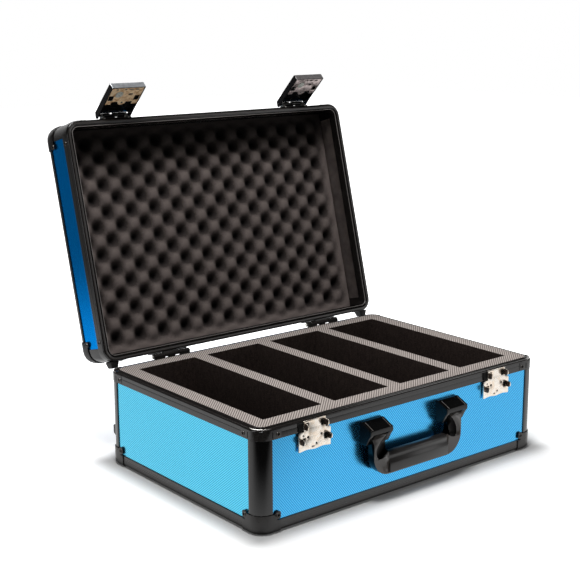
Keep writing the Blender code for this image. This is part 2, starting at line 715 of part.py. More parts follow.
def build_lid_frame(lid):
    """Panels, rails, caps and rim of the lid."""
    section = edge_rail_section(LID_RAIL_HEIGHT, LID_EDGE_RADIUS, LID_RAIL_FLANGE)
    panel_low = RIM_HEIGHT + LID_RIM_FLANGE - SLOT_DEPTH + GAP
    panel_high = LID_TOP - LID_RAIL_HEIGHT + SLOT_DEPTH - GAP
    for side, turn in SIDES:
        half = side_run(turn, POST_REACH + GAP)
        flipped = [(inward, -height) for inward, height in section]
        rail = outline_mesh("lid_edge_rail_" + side, [flipped], 2 * half, -half)
        add_piece("lid_edge_rail_" + side, smooth(rail), BLACK_RAIL, side_place(turn, LID_TOP), lid)
        half = side_run(turn, PANEL_END)
        low = (PANEL_RECESS, panel_low, -half)
        high = (PANEL_RECESS + PANEL_THICKNESS, panel_high, half)
        panel = box_mesh(f"lid_{side}_panel", low, high)
        add_piece(f"lid_{side}_panel", panel, BLUE_SKIN, side_place(turn, 0), lid)

    board_inset = LID_RAIL_FLANGE - SLOT_DEPTH + GAP
    board_high = LID_TOP - PANEL_RECESS
    board_low = board_high - BOARD_THICKNESS
    board = box_mesh("lid_top_panel", (board_inset - HALF_LENGTH, board_inset - HALF_DEPTH, board_low),
                     (HALF_LENGTH - board_inset, HALF_DEPTH - board_inset, board_high))
    add_piece("lid_top_panel", board, BLUE_SKIN, carrier=lid)

    cap = cap_mesh("lid_cap_shape", LID_EDGE_RADIUS)
    upturned = Matrix.Rotation(math.pi, 4, ALONG_X + ALONG_Y)
    for corner, side_x, side_y, turn in CORNERS:
        place = corner_place(side_x, side_y, turn, LID_TOP) @ upturned
        add_piece("lid_corner_cap_" + corner, cap, BLACK_CAP, place, lid)

    rim = add_piece("lid_rim", swept_rim("lid_rim", lid_rim_section()), BLACK_RAIL,
                    Matrix.Translation((0, 0, RIM_HEIGHT)), lid)
    flange = RIM_HEIGHT + LID_RIM_FLANGE
    post_high = LID_TOP - LID_EDGE_RADIUS
    post = outline_mesh("lid_post", [post_section()], post_high - flange - GAP)
    pin = rod_mesh("lid_post_pin", LID_POST_PIN_RADIUS, -SLOT_DEPTH - RAIL_WALL, LID_POST_PIN_RISE)
    for corner, side_x, side_y, turn in CORNERS:
        place = corner_place(side_x, side_y, turn, flange + GAP)
        boolean(rim, add_cutter("lid_post_" + corner, post, place, lid), "UNION")
        spot = Matrix.Translation((LID_POST_PIN_PLACE, LID_POST_PIN_PLACE, -GAP))
        boolean(rim, add_cutter("lid_post_pin_" + corner, pin, place @ spot, lid), "UNION")
    corner_castings(rim, "lid_rim_casting", RIM_HEIGHT + CASTING_LIP_DROP, flange - CASTING_FOOT, lid)


def build_lid_foam(lid):
    """Egg-crate sheet: peaks and pits that alternate like a chessboard, on a flat back."""
    inset = WALL_INNER + FOAM_CLEARANCE
    half_x = HALF_LENGTH - inset
    half_y = HALF_DEPTH - inset
    back = LID_TOP - BOARD_SLOT_INNER - RAIL_WALL - GAP
    count_x = round(4 * half_x / EGG_PITCH)
    count_y = round(4 * half_y / EGG_PITCH)
    work = bmesh.new()
    bmesh.ops.create_grid(work, x_segments=count_x, y_segments=count_y, size=1)
    for vertex in work.verts:
        vertex.co.x *= half_x
        vertex.co.y *= half_y
    crate_faces = list(work.faces)
    outer_edges = [edge for edge in work.edges if edge.is_boundary]
    extruded = bmesh.ops.extrude_edge_only(work, edges=outer_edges)["geom"]
    rim_edges = [item for item in extruded if isinstance(item, bmesh.types.BMEdge) and item.is_boundary]
    rim_vertices = {vertex for edge in rim_edges for vertex in edge.verts}
    for vertex in work.verts:
        if vertex in rim_vertices:
            vertex.co.z = back
            continue
        column = round((vertex.co.x / half_x + 1) * count_x / 2)
        row = round((vertex.co.y / half_y + 1) * count_y / 2)
        vertex.co.z = back - EGG_THICKNESS - EGG_SWELL * (-1) ** (column + row)
    bmesh.ops.poke(work, faces=crate_faces)
    bmesh.ops.contextual_create(work, geom=rim_edges)
    bmesh.ops.recalc_face_normals(work, faces=work.faces)
    add_piece("lid_foam", finished_mesh("lid_foam", work), LID_FOAM, carrier=lid)


def build_hinges(lid):
    """Two butt hinges on the rim flanges, each with a stop lug that holds the lid open."""
    axis_y = HALF_DEPTH + HINGE_SETBACK
    axis_z = RIM_HEIGHT + HINGE_RISE
    leaf_face = GAP - HINGE_SETBACK
    leaf_back = leaf_face + HINGE_LEAF
    half = HINGE_WIDTH / 2
    lid_half = half * HINGE_LID_KNUCKLE_SHARE
    pin_bore = HINGE_PIN_RADIUS + GAP
    for side, label in ((-1, "left"), (1, "right")):
        place = axes((side * HINGE_PLACE, axis_y, axis_z), ALONG_Y, UP)
        low = -HINGE_RISE - HINGE_LEAF_REACH
        leaf = box_mesh(f"hinge_{label}_base_leaf", (leaf_face, low, -half), (leaf_back, -HINGE_RISE, half))
        base_leaf = add_piece(f"hinge_{label}_base_leaf", leaf, BLACK_CAP, place)
        bridge_low = -HINGE_RISE - HINGE_LEAF
        bridge = box_mesh("bridge", (leaf_face, bridge_low, -half), (leaf_back, HINGE_RISE, half))
        boolean(base_leaf, add_cutter(f"hinge_{label}_base_bridge", bridge, place), "UNION")
        knuckle = rod_mesh("knuckle", HINGE_KNUCKLE_RADIUS, -half, half)
        boolean(base_leaf, add_cutter(f"hinge_{label}_base_knuckle", knuckle, place), "UNION")
        room = HINGE_KNUCKLE_RADIUS + HINGE_STOP_REACH
        notch_low = (-room, -HINGE_KNUCKLE_RADIUS - GAP, -lid_half - GAP)
        middle = box_mesh("middle", notch_low, (room, room, lid_half + GAP))
        boolean(base_leaf, add_cutter(f"hinge_{label}_base_notch", middle, place))
        bore = rod_mesh("bore", pin_bore, -half - OVERRUN, half + OVERRUN)
        boolean(base_leaf, add_cutter(f"hinge_{label}_base_bore", bore, place))

        lid_leaf_mesh = box_mesh(f"hinge_{label}_lid_leaf", (leaf_face, HINGE_KNUCKLE_RADIUS + GAP, -half),
                                 (leaf_back, HINGE_LEAF_REACH, half))
        lid_leaf = add_piece(f"hinge_{label}_lid_leaf", lid_leaf_mesh, BLACK_CAP, place, lid)
        neck = box_mesh("neck", (leaf_face, -HINGE_RISE + GAP, -lid_half),
                        (leaf_back, HINGE_KNUCKLE_RADIUS + 2 * GAP, lid_half))
        boolean(lid_leaf, add_cutter(f"hinge_{label}_lid_neck", neck, place, lid), "UNION")
        barrel = rod_mesh("barrel", HINGE_KNUCKLE_RADIUS, -lid_half, lid_half)
        boolean(lid_leaf, add_cutter(f"hinge_{label}_lid_barrel", barrel, place, lid), "UNION")
        stop_face = leaf_back + GAP
        lug = box_mesh("lug", (stop_face, -HINGE_STOP_REACH, -HINGE_STOP_WIDTH / 2),
                       (stop_face + HINGE_STOP_THICKNESS, 0, HINGE_STOP_WIDTH / 2))
        lug_place = place @ Matrix.Rotation(LID_OPEN, 4, "Z")
        boolean(lid_leaf, add_cutter(f"hinge_{label}_stop_lug", lug, lug_place, lid), "UNION")
        boolean(lid_leaf, add_cutter(f"hinge_{label}_lid_bore", bore, place, lid))

        pin_half = half + GAP + HINGE_HEAD
        pin = rod_mesh(f"hinge_{label}_pin", HINGE_PIN_RADIUS, -pin_half, pin_half)
        pin_piece = add_piece(f"hinge_{label}_pin", pin, NICKEL, place)
        for end in (-1, 1):
            near, far = sorted((end * (half + GAP), end * pin_half))
            head = rod_mesh("head", HINGE_HEAD_RADIUS, near, far)
            boolean(pin_piece, add_cutter(f"hinge_{label}_pin_head_{end + 1}", head, place), "UNION")


def build_feet(lid):
    """Feet on the hinge side, which the shut case stands on when it is carried upright."""
    round_wall = rounded_rectangle(HALF_LENGTH + GAP, HALF_DEPTH + GAP, CORNER_RADIUS + GAP, 2 * ARC_STEPS)
    column = outline_mesh("corner_column", [round_wall], LID_TOP)
    stand = CASTING_THICKNESS + GAP
    plated = rounded_rectangle(HALF_LENGTH + stand, HALF_DEPTH + stand, CORNER_RADIUS + stand, 2 * ARC_STEPS)
    plated_column = outline_mesh("plated_column", [plated], RIM_HEIGHT + LID_RIM_FLANGE - CASTING_FOOT + GAP)
    kinds = (("lid_foot_", RIM_HEIGHT + LID_FOOT_RISE, lid), ("base_rear_foot_", BASE_FOOT_RISE, None))
    for side, label in ((-1, "left"), (1, "right")):
        centre_x = side * (HALF_LENGTH - FOOT_END_INSET - FOOT_WIDTH / 2)
        for name, low, carrier in kinds:
            work = bmesh.new()
            bmesh.ops.create_cube(work, size=1)
            root = CORNER_RADIUS / 2
            for vertex in work.verts:
                outer = vertex.co.y > 0
                taper = FOOT_TAPER if outer else 0
                vertex.co.x = math.copysign(FOOT_WIDTH / 2 - taper, vertex.co.x)
                vertex.co.z = math.copysign(FOOT_LENGTH / 2 - taper, vertex.co.z)
                vertex.co.y = FOOT_HEIGHT if outer else -root
            mesh = finished_mesh(name + label, work)
            place = Matrix.Translation((centre_x, HALF_DEPTH, low + FOOT_LENGTH / 2))
            foot = add_piece(name + label, mesh, RUBBER, place, carrier)
            boolean(foot, add_cutter(f"{name}{label}_seat", column, Matrix(), carrier))
            if carrier:
                boolean(foot, add_cutter(f"{name}{label}_plated_seat", plated_column, Matrix(), carrier))


def front_axes(x, height=0):
    """Placement at the front wall: X stands out from it, Y is up and Z runs toward the left end."""
    return axes((x, -HALF_DEPTH, height), -ALONG_Y, UP)


def build_keeper(side, label):
    """Stamped keeper plate with two ears that the lock plate's holes go over, and two smaller clips."""
    centre = side * LATCH_PLACE
    half = KEEPER_WIDTH / 2
    tongue = KEEPER_TONGUE_WIDTH / 2
    points = [(-half, KEEPER_BOTTOM)]
    for lobe in range(KEEPER_LOBES):
        for step in range(1, ARC_STEPS + 1):
            along = (lobe + step / ARC_STEPS) / KEEPER_LOBES
            lift = KEEPER_SCALLOP * abs(math.sin(math.pi * step / ARC_STEPS))
            points.append((-half + KEEPER_WIDTH * along, KEEPER_BOTTOM + lift))
    corner_x = half - KEEPER_CORNER
    corner_z = KEEPER_SHOULDER - KEEPER_CORNER
    points += arc((corner_x, corner_z), KEEPER_CORNER, 0, 90, ARC_STEPS // 2)
    points += [(tongue, KEEPER_SHOULDER), (tongue, KEEPER_TOP), (-tongue, KEEPER_TOP)]
    points += [(-tongue, KEEPER_SHOULDER)]
    points += arc((-corner_x, corner_z), KEEPER_CORNER, 90, 180, ARC_STEPS // 2)
    loops = [points]
    tabs = ((EAR_PLACE, KEEPER_EAR_HEIGHT, EAR_TALL, EAR_WINDOW),
            (CLIP_PLACE, CLIP_HEIGHT, CLIP_TALL, CLIP_WINDOW))
    for place_x, height, tall, window in tabs:
        for hand in (-1, 1):
            far = place_x - EAR_THICKNESS / 2
            left, right = sorted((hand * (far - window), hand * far))
            loops.append(rectangle((left, height - tall / 2), (right, height + tall / 2)))
    plate = outline_mesh("keeper_plate_" + label, loops, KEEPER_THICKNESS, GAP)
    flat = axes((centre, -HALF_DEPTH, 0), ALONG_X, UP)
    keeper = add_piece("keeper_plate_" + label, plate, NICKEL, flat)
    root = GAP + KEEPER_THICKNESS / 2
    tip = EAR_STAND - EAR_TIP_RADIUS
    for place_x, height, tall, _ in tabs:
        low = height - tall / 2
        high = height + tall / 2
        side_view = [(root, low)]
        side_view += arc((tip, low + EAR_TIP_RADIUS), EAR_TIP_RADIUS, 270, 360, ARC_STEPS // 2)
        side_view += arc((tip, high - EAR_TIP_RADIUS), EAR_TIP_RADIUS, 0, 90, ARC_STEPS // 2)
        side_view += [(root, high)]
        for hand in (-1, 1):
            ear = outline_mesh("ear", [side_view], EAR_THICKNESS, -EAR_THICKNESS / 2)
            name = f"keeper_{label}_tab_{round(height / RIM_HEIGHT * 10)}_{hand + 1}"
            boolean(keeper, add_cutter(name, ear, front_axes(centre + hand * place_x)), "UNION")


def build_latch(side, label, lid):
    """Hinge bracket on the lid, sprung cover with its lock plate, and the key cylinder."""
    centre = side * LATCH_PLACE
    shut = front_axes(centre)
    bracket_low = RIM_HEIGHT + BRACKET_LOW
    bracket_high = RIM_HEIGHT + BRACKET_HIGH
    half = BRACKET_WIDTH / 2
    plate = box_mesh("latch_bracket_" + label, (GAP, bracket_low, -half),
                     (GAP + BRACKET_PLATE, bracket_high, half))
    bracket = add_piece("latch_bracket_" + label, plate, NICKEL, shut, lid)
    pivot = (LATCH_PIVOT_STAND, LATCH_PIVOT_HEIGHT)
    lug = arc(pivot, BRACKET_LUG_RADIUS, -90, 90) + [(GAP, pivot[1] + BRACKET_LUG_RADIUS + BRACKET_PLATE)]
    lug += [(GAP, bracket_low)]
    for hand in (-1, 1):
        start = hand * BRACKET_LUG_PLACE - BRACKET_LUG_WIDTH / 2
        lug_mesh = outline_mesh("lug", [lug], BRACKET_LUG_WIDTH, start)
        boolean(bracket, add_cutter(f"latch_{label}_lug_{hand + 1}", lug_mesh, shut, lid), "UNION")
    pin_half = COVER_WIDTH / 2 - GAP
    pin = rod_mesh("pin", LATCH_PIN_RADIUS, -pin_half, pin_half)
    pin_place = shut @ Matrix.Translation((pivot[0], pivot[1], 0))
    boolean(bracket, add_cutter(f"latch_{label}_pin", pin, pin_place, lid), "UNION")
    for number, (start, end) in enumerate(KNUCKLES):
        knuckle = rod_mesh("knuckle", KNUCKLE_RADIUS, start, end)
        boolean(bracket, add_cutter(f"latch_{label}_knuckle_{number}", knuckle, pin_place, lid), "UNION")

    axis_point = (centre, -HALF_DEPTH - LATCH_PIVOT_STAND, LATCH_PIVOT_HEIGHT)
    carrier = Carrier(f"latch_{label}_pivot", axis_point, LATCH_OPEN, lid)
    half = COVER_WIDTH / 2
    profile = [(COVER_STAND, COVER_TIP), (COVER_FACE, COVER_TIP), (COVER_FACE, LATCH_PIVOT_HEIGHT)]
    profile += [(pivot[0], COVER_TOP)] + arc(pivot, COVER_ROOT_RADIUS, 90, 180)
    profile += [(COVER_STAND, LATCH_PIVOT_HEIGHT - COVER_SHOULDER)]
    body = outline_mesh("latch_cover_" + label, [profile], COVER_WIDTH, -half)
    cover = add_piece("latch_cover_" + label, body, DARK_STEEL, shut, carrier)
    bevel(cover, COVER_EDGE_BEVEL, 2, math.radians(50))
    inner_face = COVER_FACE - COVER_WALL
    hollow = box_mesh("hollow", (-OVERRUN, COVER_TIP + COVER_WALL, COVER_WALL - half),
                      (inner_face, COVER_TOP + OVERRUN, half - COVER_WALL))
    boolean(cover, add_cutter(f"latch_{label}_hollow", hollow, shut, carrier))
    bore = rod_mesh("bore", LATCH_PIN_RADIUS + GAP, -half - OVERRUN, half + OVERRUN)
    boolean(cover, add_cutter(f"latch_{label}_bore", bore, pin_place, carrier))

    cylinder_x = centre - CYLINDER_SIDE
    cylinder_z = COVER_TIP + CYLINDER_FROM_TIP
    cylinder_place = axes((cylinder_x, -HALF_DEPTH, cylinder_z), ALONG_X, UP)
    hole = rod_mesh("hole", CYLINDER_RADIUS + GAP, -OVERRUN, COVER_FACE + OVERRUN, 2 * ROUND_STEPS)
    boolean(cover, add_cutter(f"latch_{label}_cylinder_hole", hole, cylinder_place, carrier))

    plate_low = COVER_TIP + COVER_WALL + LOCK_PLATE_SIDE_GAP
    plate_high = plate_low + LOCK_PLATE_LENGTH
    plate_half = half - COVER_WALL - LOCK_PLATE_SIDE_GAP
    notch = LOCK_PLATE_NOTCH_HALF
    notch_high = plate_high - LOCK_PLATE_NOTCH
    points = [(-plate_half, plate_low), (plate_half, plate_low), (plate_half, plate_high)]
    points += [(notch, plate_high), (notch, notch_high)]
    points += arc((0, notch_high), LOCK_PLATE_LOBE, 0, 180, 2 * ARC_STEPS)
    points += [(-notch, notch_high), (-notch, plate_high), (-plate_half, plate_high)]
    loops = [points]
    for hand in (-1, 1):
        left = hand * LOCK_HOLE_PLACE - LOCK_HOLE_WIDTH / 2
        low = KEEPER_EAR_HEIGHT - LOCK_HOLE_HEIGHT / 2
        loops.append(rectangle((left, low), (left + LOCK_HOLE_WIDTH, low + LOCK_HOLE_HEIGHT)))
    last_step = 360 - 360 / (2 * ROUND_STEPS)
    loops.append(arc((-CYLINDER_SIDE, cylinder_z), CYLINDER_RADIUS + GAP, 0, last_step, 2 * ROUND_STEPS - 1))
    plate_stand = COVER_STAND + LOCK_PLATE_RECESS
    stamped = outline_mesh("lock_plate_" + label, loops, LOCK_PLATE_THICKNESS, plate_stand)
    flat = axes((centre, -HALF_DEPTH, 0), ALONG_X, UP)
    add_piece("lock_plate_" + label, stamped, NICKEL, flat, carrier)

    outer_end = COVER_FACE + CYLINDER_PROUD
    core = rod_mesh("lock_cylinder_" + label, CYLINDER_RADIUS, plate_stand - GAP, outer_end, 2 * ROUND_STEPS)
    cylinder = add_piece("lock_cylinder_" + label, core, NICKEL, cylinder_place, carrier)
    lip_start = COVER_FACE + GAP
    lip_end = lip_start + CYLINDER_LIP_HEIGHT
    lip = rod_mesh("lip", CYLINDER_RADIUS + CYLINDER_LIP, lip_start, lip_end, 2 * ROUND_STEPS)
    boolean(cylinder, add_cutter(f"lock_{label}_lip", lip, cylinder_place, carrier), "UNION")
    keyway = box_mesh("keyway", (-KEYWAY_WIDTH / 2, -KEYWAY_LENGTH / 2, lip_end - KEYWAY_DEPTH),
                      (KEYWAY_WIDTH / 2, KEYWAY_LENGTH / 2, lip_end + OVERRUN))
    boolean(cylinder, add_cutter(f"lock_{label}_keyway", keyway, cylinder_place, carrier))
    cam_low = plate_stand + LOCK_PLATE_THICKNESS + CAM_STAND
    cam = box_mesh("cam", (-CAM_WIDTH / 2, -CAM_REACH, cam_low), (CAM_WIDTH / 2, 0, cam_low + CAM_THICKNESS))
    boolean(cylinder, add_cutter(f"lock_{label}_cam", cam, cylinder_place, carrier), "UNION")


def build_handle_bracket(side, label):
    """Hooded block with a cheek each side of the arm and a blind bore for each trunnion."""
    place = front_axes(side * ARM_PLACE)
    half = BRACKET_BLOCK_WIDTH / 2
    seat_face = GAP - PANEL_RECESS
    block_bottom = HANDLE_PIVOT_HEIGHT - BRACKET_BLOCK_DROP
    block_top = HANDLE_PIVOT_HEIGHT + BRACKET_BLOCK_RISE
    outline = [(seat_face, block_bottom), (BRACKET_CHEEK_FOOT, block_bottom)]
    outline += [(BRACKET_CHEEK_STAND, HANDLE_PIVOT_HEIGHT + BRACKET_CHEEK_RISE)]
    outline += [(BRACKET_LIP_STAND, HANDLE_PIVOT_HEIGHT + BRACKET_LIP_RISE)]
    outline += [(BRACKET_LIP_STAND, HANDLE_PIVOT_HEIGHT + BRACKET_LIP_TOP_RISE)]
    outline += [(BRACKET_ROOF_FLAT, block_top), (seat_face, block_top)]
    block_mesh = outline_mesh("handle_bracket_" + label, [outline], 2 * half, -half)
    block = add_piece("handle_bracket_" + label, block_mesh, BLACK_PLASTIC, place)
    bevel(block, BRACKET_BEVEL)
    pivot = (HANDLE_PIVOT_STAND, HANDLE_PIVOT_HEIGHT)
    room = ARM_END_RADIUS + GAP
    ceiling = HANDLE_PIVOT_HEIGHT + room
    back = HANDLE_PIVOT_STAND - room
    below = block_bottom - OVERRUN
    ahead = BRACKET_LIP_STAND + OVERRUN
    pocket = [(back, below), (ahead, below), (ahead, ceiling)] + arc(pivot, room, 90, 180)
    pocket_half = ARM_WIDTH / 2 + HANDLE_RUN
    pocket_mesh = outline_mesh("pocket", [pocket], 2 * pocket_half, -pocket_half)
    boolean(block, add_cutter(f"handle_{label}_pocket", pocket_mesh, place))
    bore_half = ARM_WIDTH / 2 + TRUNNION_LENGTH + GAP
    bore = rod_mesh("bore", TRUNNION_RADIUS + GAP, -bore_half, bore_half)
    bore_place = place @ Matrix.Translation((pivot[0], pivot[1], 0))
    boolean(block, add_cutter(f"handle_{label}_bore", bore, bore_place))


def build_handle():
    """Moulded bail on its trunnions and the grip over its bar."""
    for side, label in ((-1, "left"), (1, "right")):
        build_handle_bracket(side, label)
    carrier = Carrier("handle_pivot", (0, -HALF_DEPTH - HANDLE_PIVOT_STAND, HANDLE_PIVOT_HEIGHT), 0)
    outer = ARM_PLACE + ARM_WIDTH / 2
    inner = ARM_PLACE - ARM_WIDTH / 2
    grip_end = GRIP_LENGTH / 2 + GAP
    shoulder = HANDLE_PIVOT_HEIGHT - TRUNNION_RADIUS
    right = [(grip_end, BAIL_BAR_TOP), (grip_end, GRIP_TOP), (inner, GRIP_TOP + inner - grip_end)]
    right += [(inner, shoulder), (outer, shoulder)]
    bend = (outer - BAIL_CORNER_RADIUS, BAIL_BOTTOM + BAIL_CORNER_RADIUS)
    right += arc(bend, BAIL_CORNER_RADIUS, 0, -90, 2 * ARC_STEPS)
    left = [(-x, z) for x, z in reversed(right)]
    depth = ARM_FRONT - ARM_BACK
    flat = axes((0, -HALF_DEPTH, 0), ALONG_X, UP)
    bail_mesh = outline_mesh("handle_bail", [right + left], depth, ARM_BACK)
    bail = add_piece("handle_bail", bail_mesh, BLACK_PLASTIC, flat, carrier)
    strip_top = BAIL_BOTTOM + BAIL_STRIP
    reliefs = (("front", BAIL_BAR_FRONT, ARM_FRONT + OVERRUN), ("back", ARM_BACK - OVERRUN, BAIL_BAR_BACK))
    for name, low, high in reliefs:
        relief = box_mesh("relief", (-grip_end, strip_top, low), (grip_end, BAIL_BAR_TOP + OVERRUN, high))
        boolean(bail, add_cutter("bail_relief_" + name, relief, flat, carrier))
    pivot = (HANDLE_PIVOT_STAND, HANDLE_PIVOT_HEIGHT)
    neck = shoulder - TRUNNION_RADIUS
    arm_end = [(ARM_BACK, neck), (ARM_FRONT, neck)] + arc(pivot, ARM_END_RADIUS, 0, 180, 2 * ARC_STEPS)
    for side, label in ((-1, "left"), (1, "right")):
        place = front_axes(side * ARM_PLACE)
        half = ARM_WIDTH / 2
        end_mesh = outline_mesh("arm_end", [arm_end], ARM_WIDTH, -half)
        boolean(bail, add_cutter(f"bail_{label}_end", end_mesh, place, carrier), "UNION")
        reach = half + TRUNNION_LENGTH
        stub_place = place @ Matrix.Translation((pivot[0], pivot[1], 0))
        stub = rod_mesh("trunnion", TRUNNION_RADIUS, -reach, reach)
        boolean(bail, add_cutter(f"bail_{label}_trunnion", stub, stub_place, carrier), "UNION")
        ball = bmesh.new()
        bmesh.ops.create_uvsphere(ball, u_segments=SCOOP_STEPS, v_segments=SCOOP_STEPS // 2, radius=1,
                                  matrix=Matrix.Diagonal((SCOOP_WIDTH, SCOOP_DEPTH, SCOOP_HEIGHT, 1)))
        scoop_height = HANDLE_PIVOT_HEIGHT - SCOOP_DROP
        spot = Matrix.Translation((side * (inner + SCOOP_INSET), -HALF_DEPTH - ARM_FRONT, scoop_height))
        spot = spot @ Matrix.Rotation(-side * SCOOP_TILT, 4, "Y")
        boolean(bail, add_cutter(f"bail_{label}_scoop", finished_mesh("scoop", ball), spot, carrier))

    channel_front = BAIL_BAR_FRONT + GAP
    channel_back = BAIL_BAR_BACK - GAP
    channel_top = BAIL_BAR_TOP + GAP
    bottom = strip_top + GAP
    crown = [(GRIP_BACK, GRIP_BACK_SHOULDER), (GRIP_BACK_CROWN, GRIP_BACK_CROWN_HEIGHT)]
    crown += [((GRIP_BACK_CROWN + GRIP_CROWN_FRONT) / 2, GRIP_HEIGHT), (GRIP_CROWN_FRONT, GRIP_CROWN_SHOULDER)]
    crown += [(GRIP_CROWN_STAND, GRIP_CROWN_HEIGHT), (GRIP_VALLEY_STAND, GRIP_VALLEY_HEIGHT)]
    crown += [(GRIP_FRONT, GRIP_FACE_HEIGHT)]
    section = [(GRIP_BACK, bottom)] + [(stand, BAIL_BOTTOM + rise) for stand, rise in crown]
    section += [(GRIP_FRONT, bottom), (channel_front, bottom), (channel_front, channel_top)]
    section += [(channel_back, channel_top), (channel_back, bottom)]
    half = GRIP_LENGTH / 2
    grip = outline_mesh("handle_grip", [section], GRIP_LENGTH, -half)
    add_piece("handle_grip", smooth(grip, math.radians(45)), RUBBER, front_axes(0), carrier)


part_collection, cutter_collection = clear_scene()
build_base_frame()
build_base_foam()
lid_carrier = Carrier("lid_pivot", (0, HALF_DEPTH + HINGE_SETBACK, RIM_HEIGHT + HINGE_RISE), LID_OPEN)
build_lid_frame(lid_carrier)
build_lid_foam(lid_carrier)
build_hinges(lid_carrier)
build_feet(lid_carrier)
for hand, hand_name in ((-1, "left"), (1, "right")):
    build_keeper(hand, hand_name)
    build_latch(hand, hand_name, lid_carrier)
build_handle()
bpy.context.view_layer.update()
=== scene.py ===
"""Looks of an open, blue-skinned storage case: the finishes of its solids, its foam and its fittings."""
import logging
import math
from dataclasses import dataclass
from enum import Enum
from typing import Iterable, Optional, Sequence

import bmesh
import bpy
from mathutils import Matrix, Vector, noise


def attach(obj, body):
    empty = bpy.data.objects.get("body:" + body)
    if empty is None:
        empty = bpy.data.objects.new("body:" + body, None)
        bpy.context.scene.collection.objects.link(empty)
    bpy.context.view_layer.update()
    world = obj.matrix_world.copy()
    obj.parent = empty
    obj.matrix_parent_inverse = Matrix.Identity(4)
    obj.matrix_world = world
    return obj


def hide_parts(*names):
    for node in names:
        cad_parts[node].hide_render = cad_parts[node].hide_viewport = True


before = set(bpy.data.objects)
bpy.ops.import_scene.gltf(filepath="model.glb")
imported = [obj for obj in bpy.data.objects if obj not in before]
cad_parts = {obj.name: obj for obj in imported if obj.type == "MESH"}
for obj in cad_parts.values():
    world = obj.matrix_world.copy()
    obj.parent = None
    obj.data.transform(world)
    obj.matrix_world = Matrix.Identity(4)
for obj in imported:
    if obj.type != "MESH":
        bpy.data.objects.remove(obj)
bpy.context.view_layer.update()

LOG = logging.getLogger("case")

Material = bpy.types.Material
Mesh = bmesh.types.BMesh
Socket = bpy.types.NodeSocket
Point = tuple[float, float]
Triple = tuple[float, float, float]
Colour = tuple[float, float, float]
Stops = Sequence[tuple[float, Colour]]
Loop = list[Point]

ALONG_X = Vector((1, 0, 0))
ALONG_Y = Vector((0, 1, 0))
UP = Vector((0, 0, 1))
BOTH_SIDES = (("left", -1), ("right", 1))
CORNERS = (("front_left", -1, -1, 0), ("front_right", 1, -1, 90), ("rear_right", 1, 1, 180),
           ("rear_left", -1, 1, 270))
SHARP = math.radians(50)
NEAR = 0.001


class Body(Enum):
    """The bodies that pieces ride on."""

    BASE = "case_base"
    LID = "lid"
    LATCH_LEFT = "latch_left"
    LATCH_RIGHT = "latch_right"
    HANDLE = "handle"


class Slot(Enum):
    """Names of material slots, which this script does not use."""

    RAIL = "black_anodised_aluminium"
    CAP = "black_steel_cap"
    PLASTIC = "black_moulded_plastic"
    NICKEL = "nickel_plated_steel"
    LATCH = "dark_latch_steel"
    FOAM = "grey_foam"
    CRATE = "egg_crate_foam"
    RUBBER = "black_rubber"


def swing(pivot: Triple, degrees: float) -> Matrix:
    """Turn that opens a piece about an axis along X.

    Args:
        pivot: A point on the axis.
        degrees: How far it opens.

    Returns:
        The placement from shut to open.
    """
    spot = Matrix.Translation(pivot)
    return spot @ Matrix.Rotation(-math.radians(degrees), 4, "X") @ spot.inverted()


def axes(origin: Sequence[float], x_axis: Vector, y_axis: Vector) -> Matrix:
    """Placement that turns a drawing's X and Y to the given directions.

    Args:
        origin: Where the drawing's origin goes.
        x_axis: Where its X goes.
        y_axis: Where its Y goes.

    Returns:
        The placement.
    """
    turn = Matrix((x_axis, y_axis, x_axis.cross(y_axis))).transposed().to_4x4()
    return Matrix.Translation(Vector(origin)) @ turn


@dataclass(frozen=True)
class CaseSizes:
    """Sizes of the case that several sub-assemblies share, in metres and degrees."""

    length: float = 0.490
    depth: float = 0.332
    rim_height: float = 0.1318
    lid_height: float = 0.066
    corner_radius: float = 0.018
    gap: float = 0.0003
    sheet: float = 0.0015
    lid_open: float = 104.7
    lid_pivot: Triple = (0, 0.17074, 0.13336)
    latch_open: float = 30.0
    latch_place: float = 0.1615
    latch_pivot: float = 0.1443
    latch_stand: float = 0.0065

    @property
    def half_length(self) -> float:
        """Half the length."""
        return self.length / 2

    @property
    def half_depth(self) -> float:
        """Half the depth."""
        return self.depth / 2

    @property
    def lid_frame(self) -> Matrix:
        """Carries what is placed with the lid shut to the open lid."""
        return swing(self.lid_pivot, self.lid_open)

    @property
    def latch_frame(self) -> Matrix:
        """Carries what is placed with the latch shut to the sprung-open latch on the open lid."""
        pivot = (0, -self.half_depth - self.latch_stand, self.latch_pivot)
        return self.lid_frame @ swing(pivot, self.latch_open)

    def on_front(self, middle: float, x_axis: Vector = ALONG_X) -> Matrix:
        """Placement of an upright drawing at the base's front face.

        Args:
            middle: Where the drawing's origin lies along the case.
            x_axis: Where its X goes: along the face, or out of it.

        Returns:
            The placement.
        """
        return axes((middle, -self.half_depth, 0), x_axis, UP)

    def corner_frames(self) -> list[tuple[str, Matrix]]:
        """Placements of corner pieces, whose X and Y run inward from the case's corner.

        Returns:
            Each corner's name and placement.
        """
        frames = []
        for corner, side_x, side_y, turn in CORNERS:
            spot = Matrix.Translation((side_x * self.half_length, side_y * self.half_depth, 0))
            frames.append((corner, spot @ Matrix.Rotation(math.radians(turn), 4, "Z")))
        return frames


SIZES = CaseSizes()


def toned(colour: Colour, factor: float) -> Colour:
    """A colour made darker or lighter by a factor."""
    return tuple(channel * factor for channel in colour)


def arc(centre: Point, radius: float, start: float, end: float, steps: int = 8) -> Loop:
    """Points of an arc.

    Args:
        centre: The arc's centre.
        radius: Its radius.
        start: First angle in degrees.
        end: Last angle in degrees.
        steps: How many chords.

    Returns:
        The points, both ends included.
    """
    angles = [math.radians(start + (end - start) * step / steps) for step in range(steps + 1)]
    return [(centre[0] + radius * math.cos(a), centre[1] + radius * math.sin(a)) for a in angles]


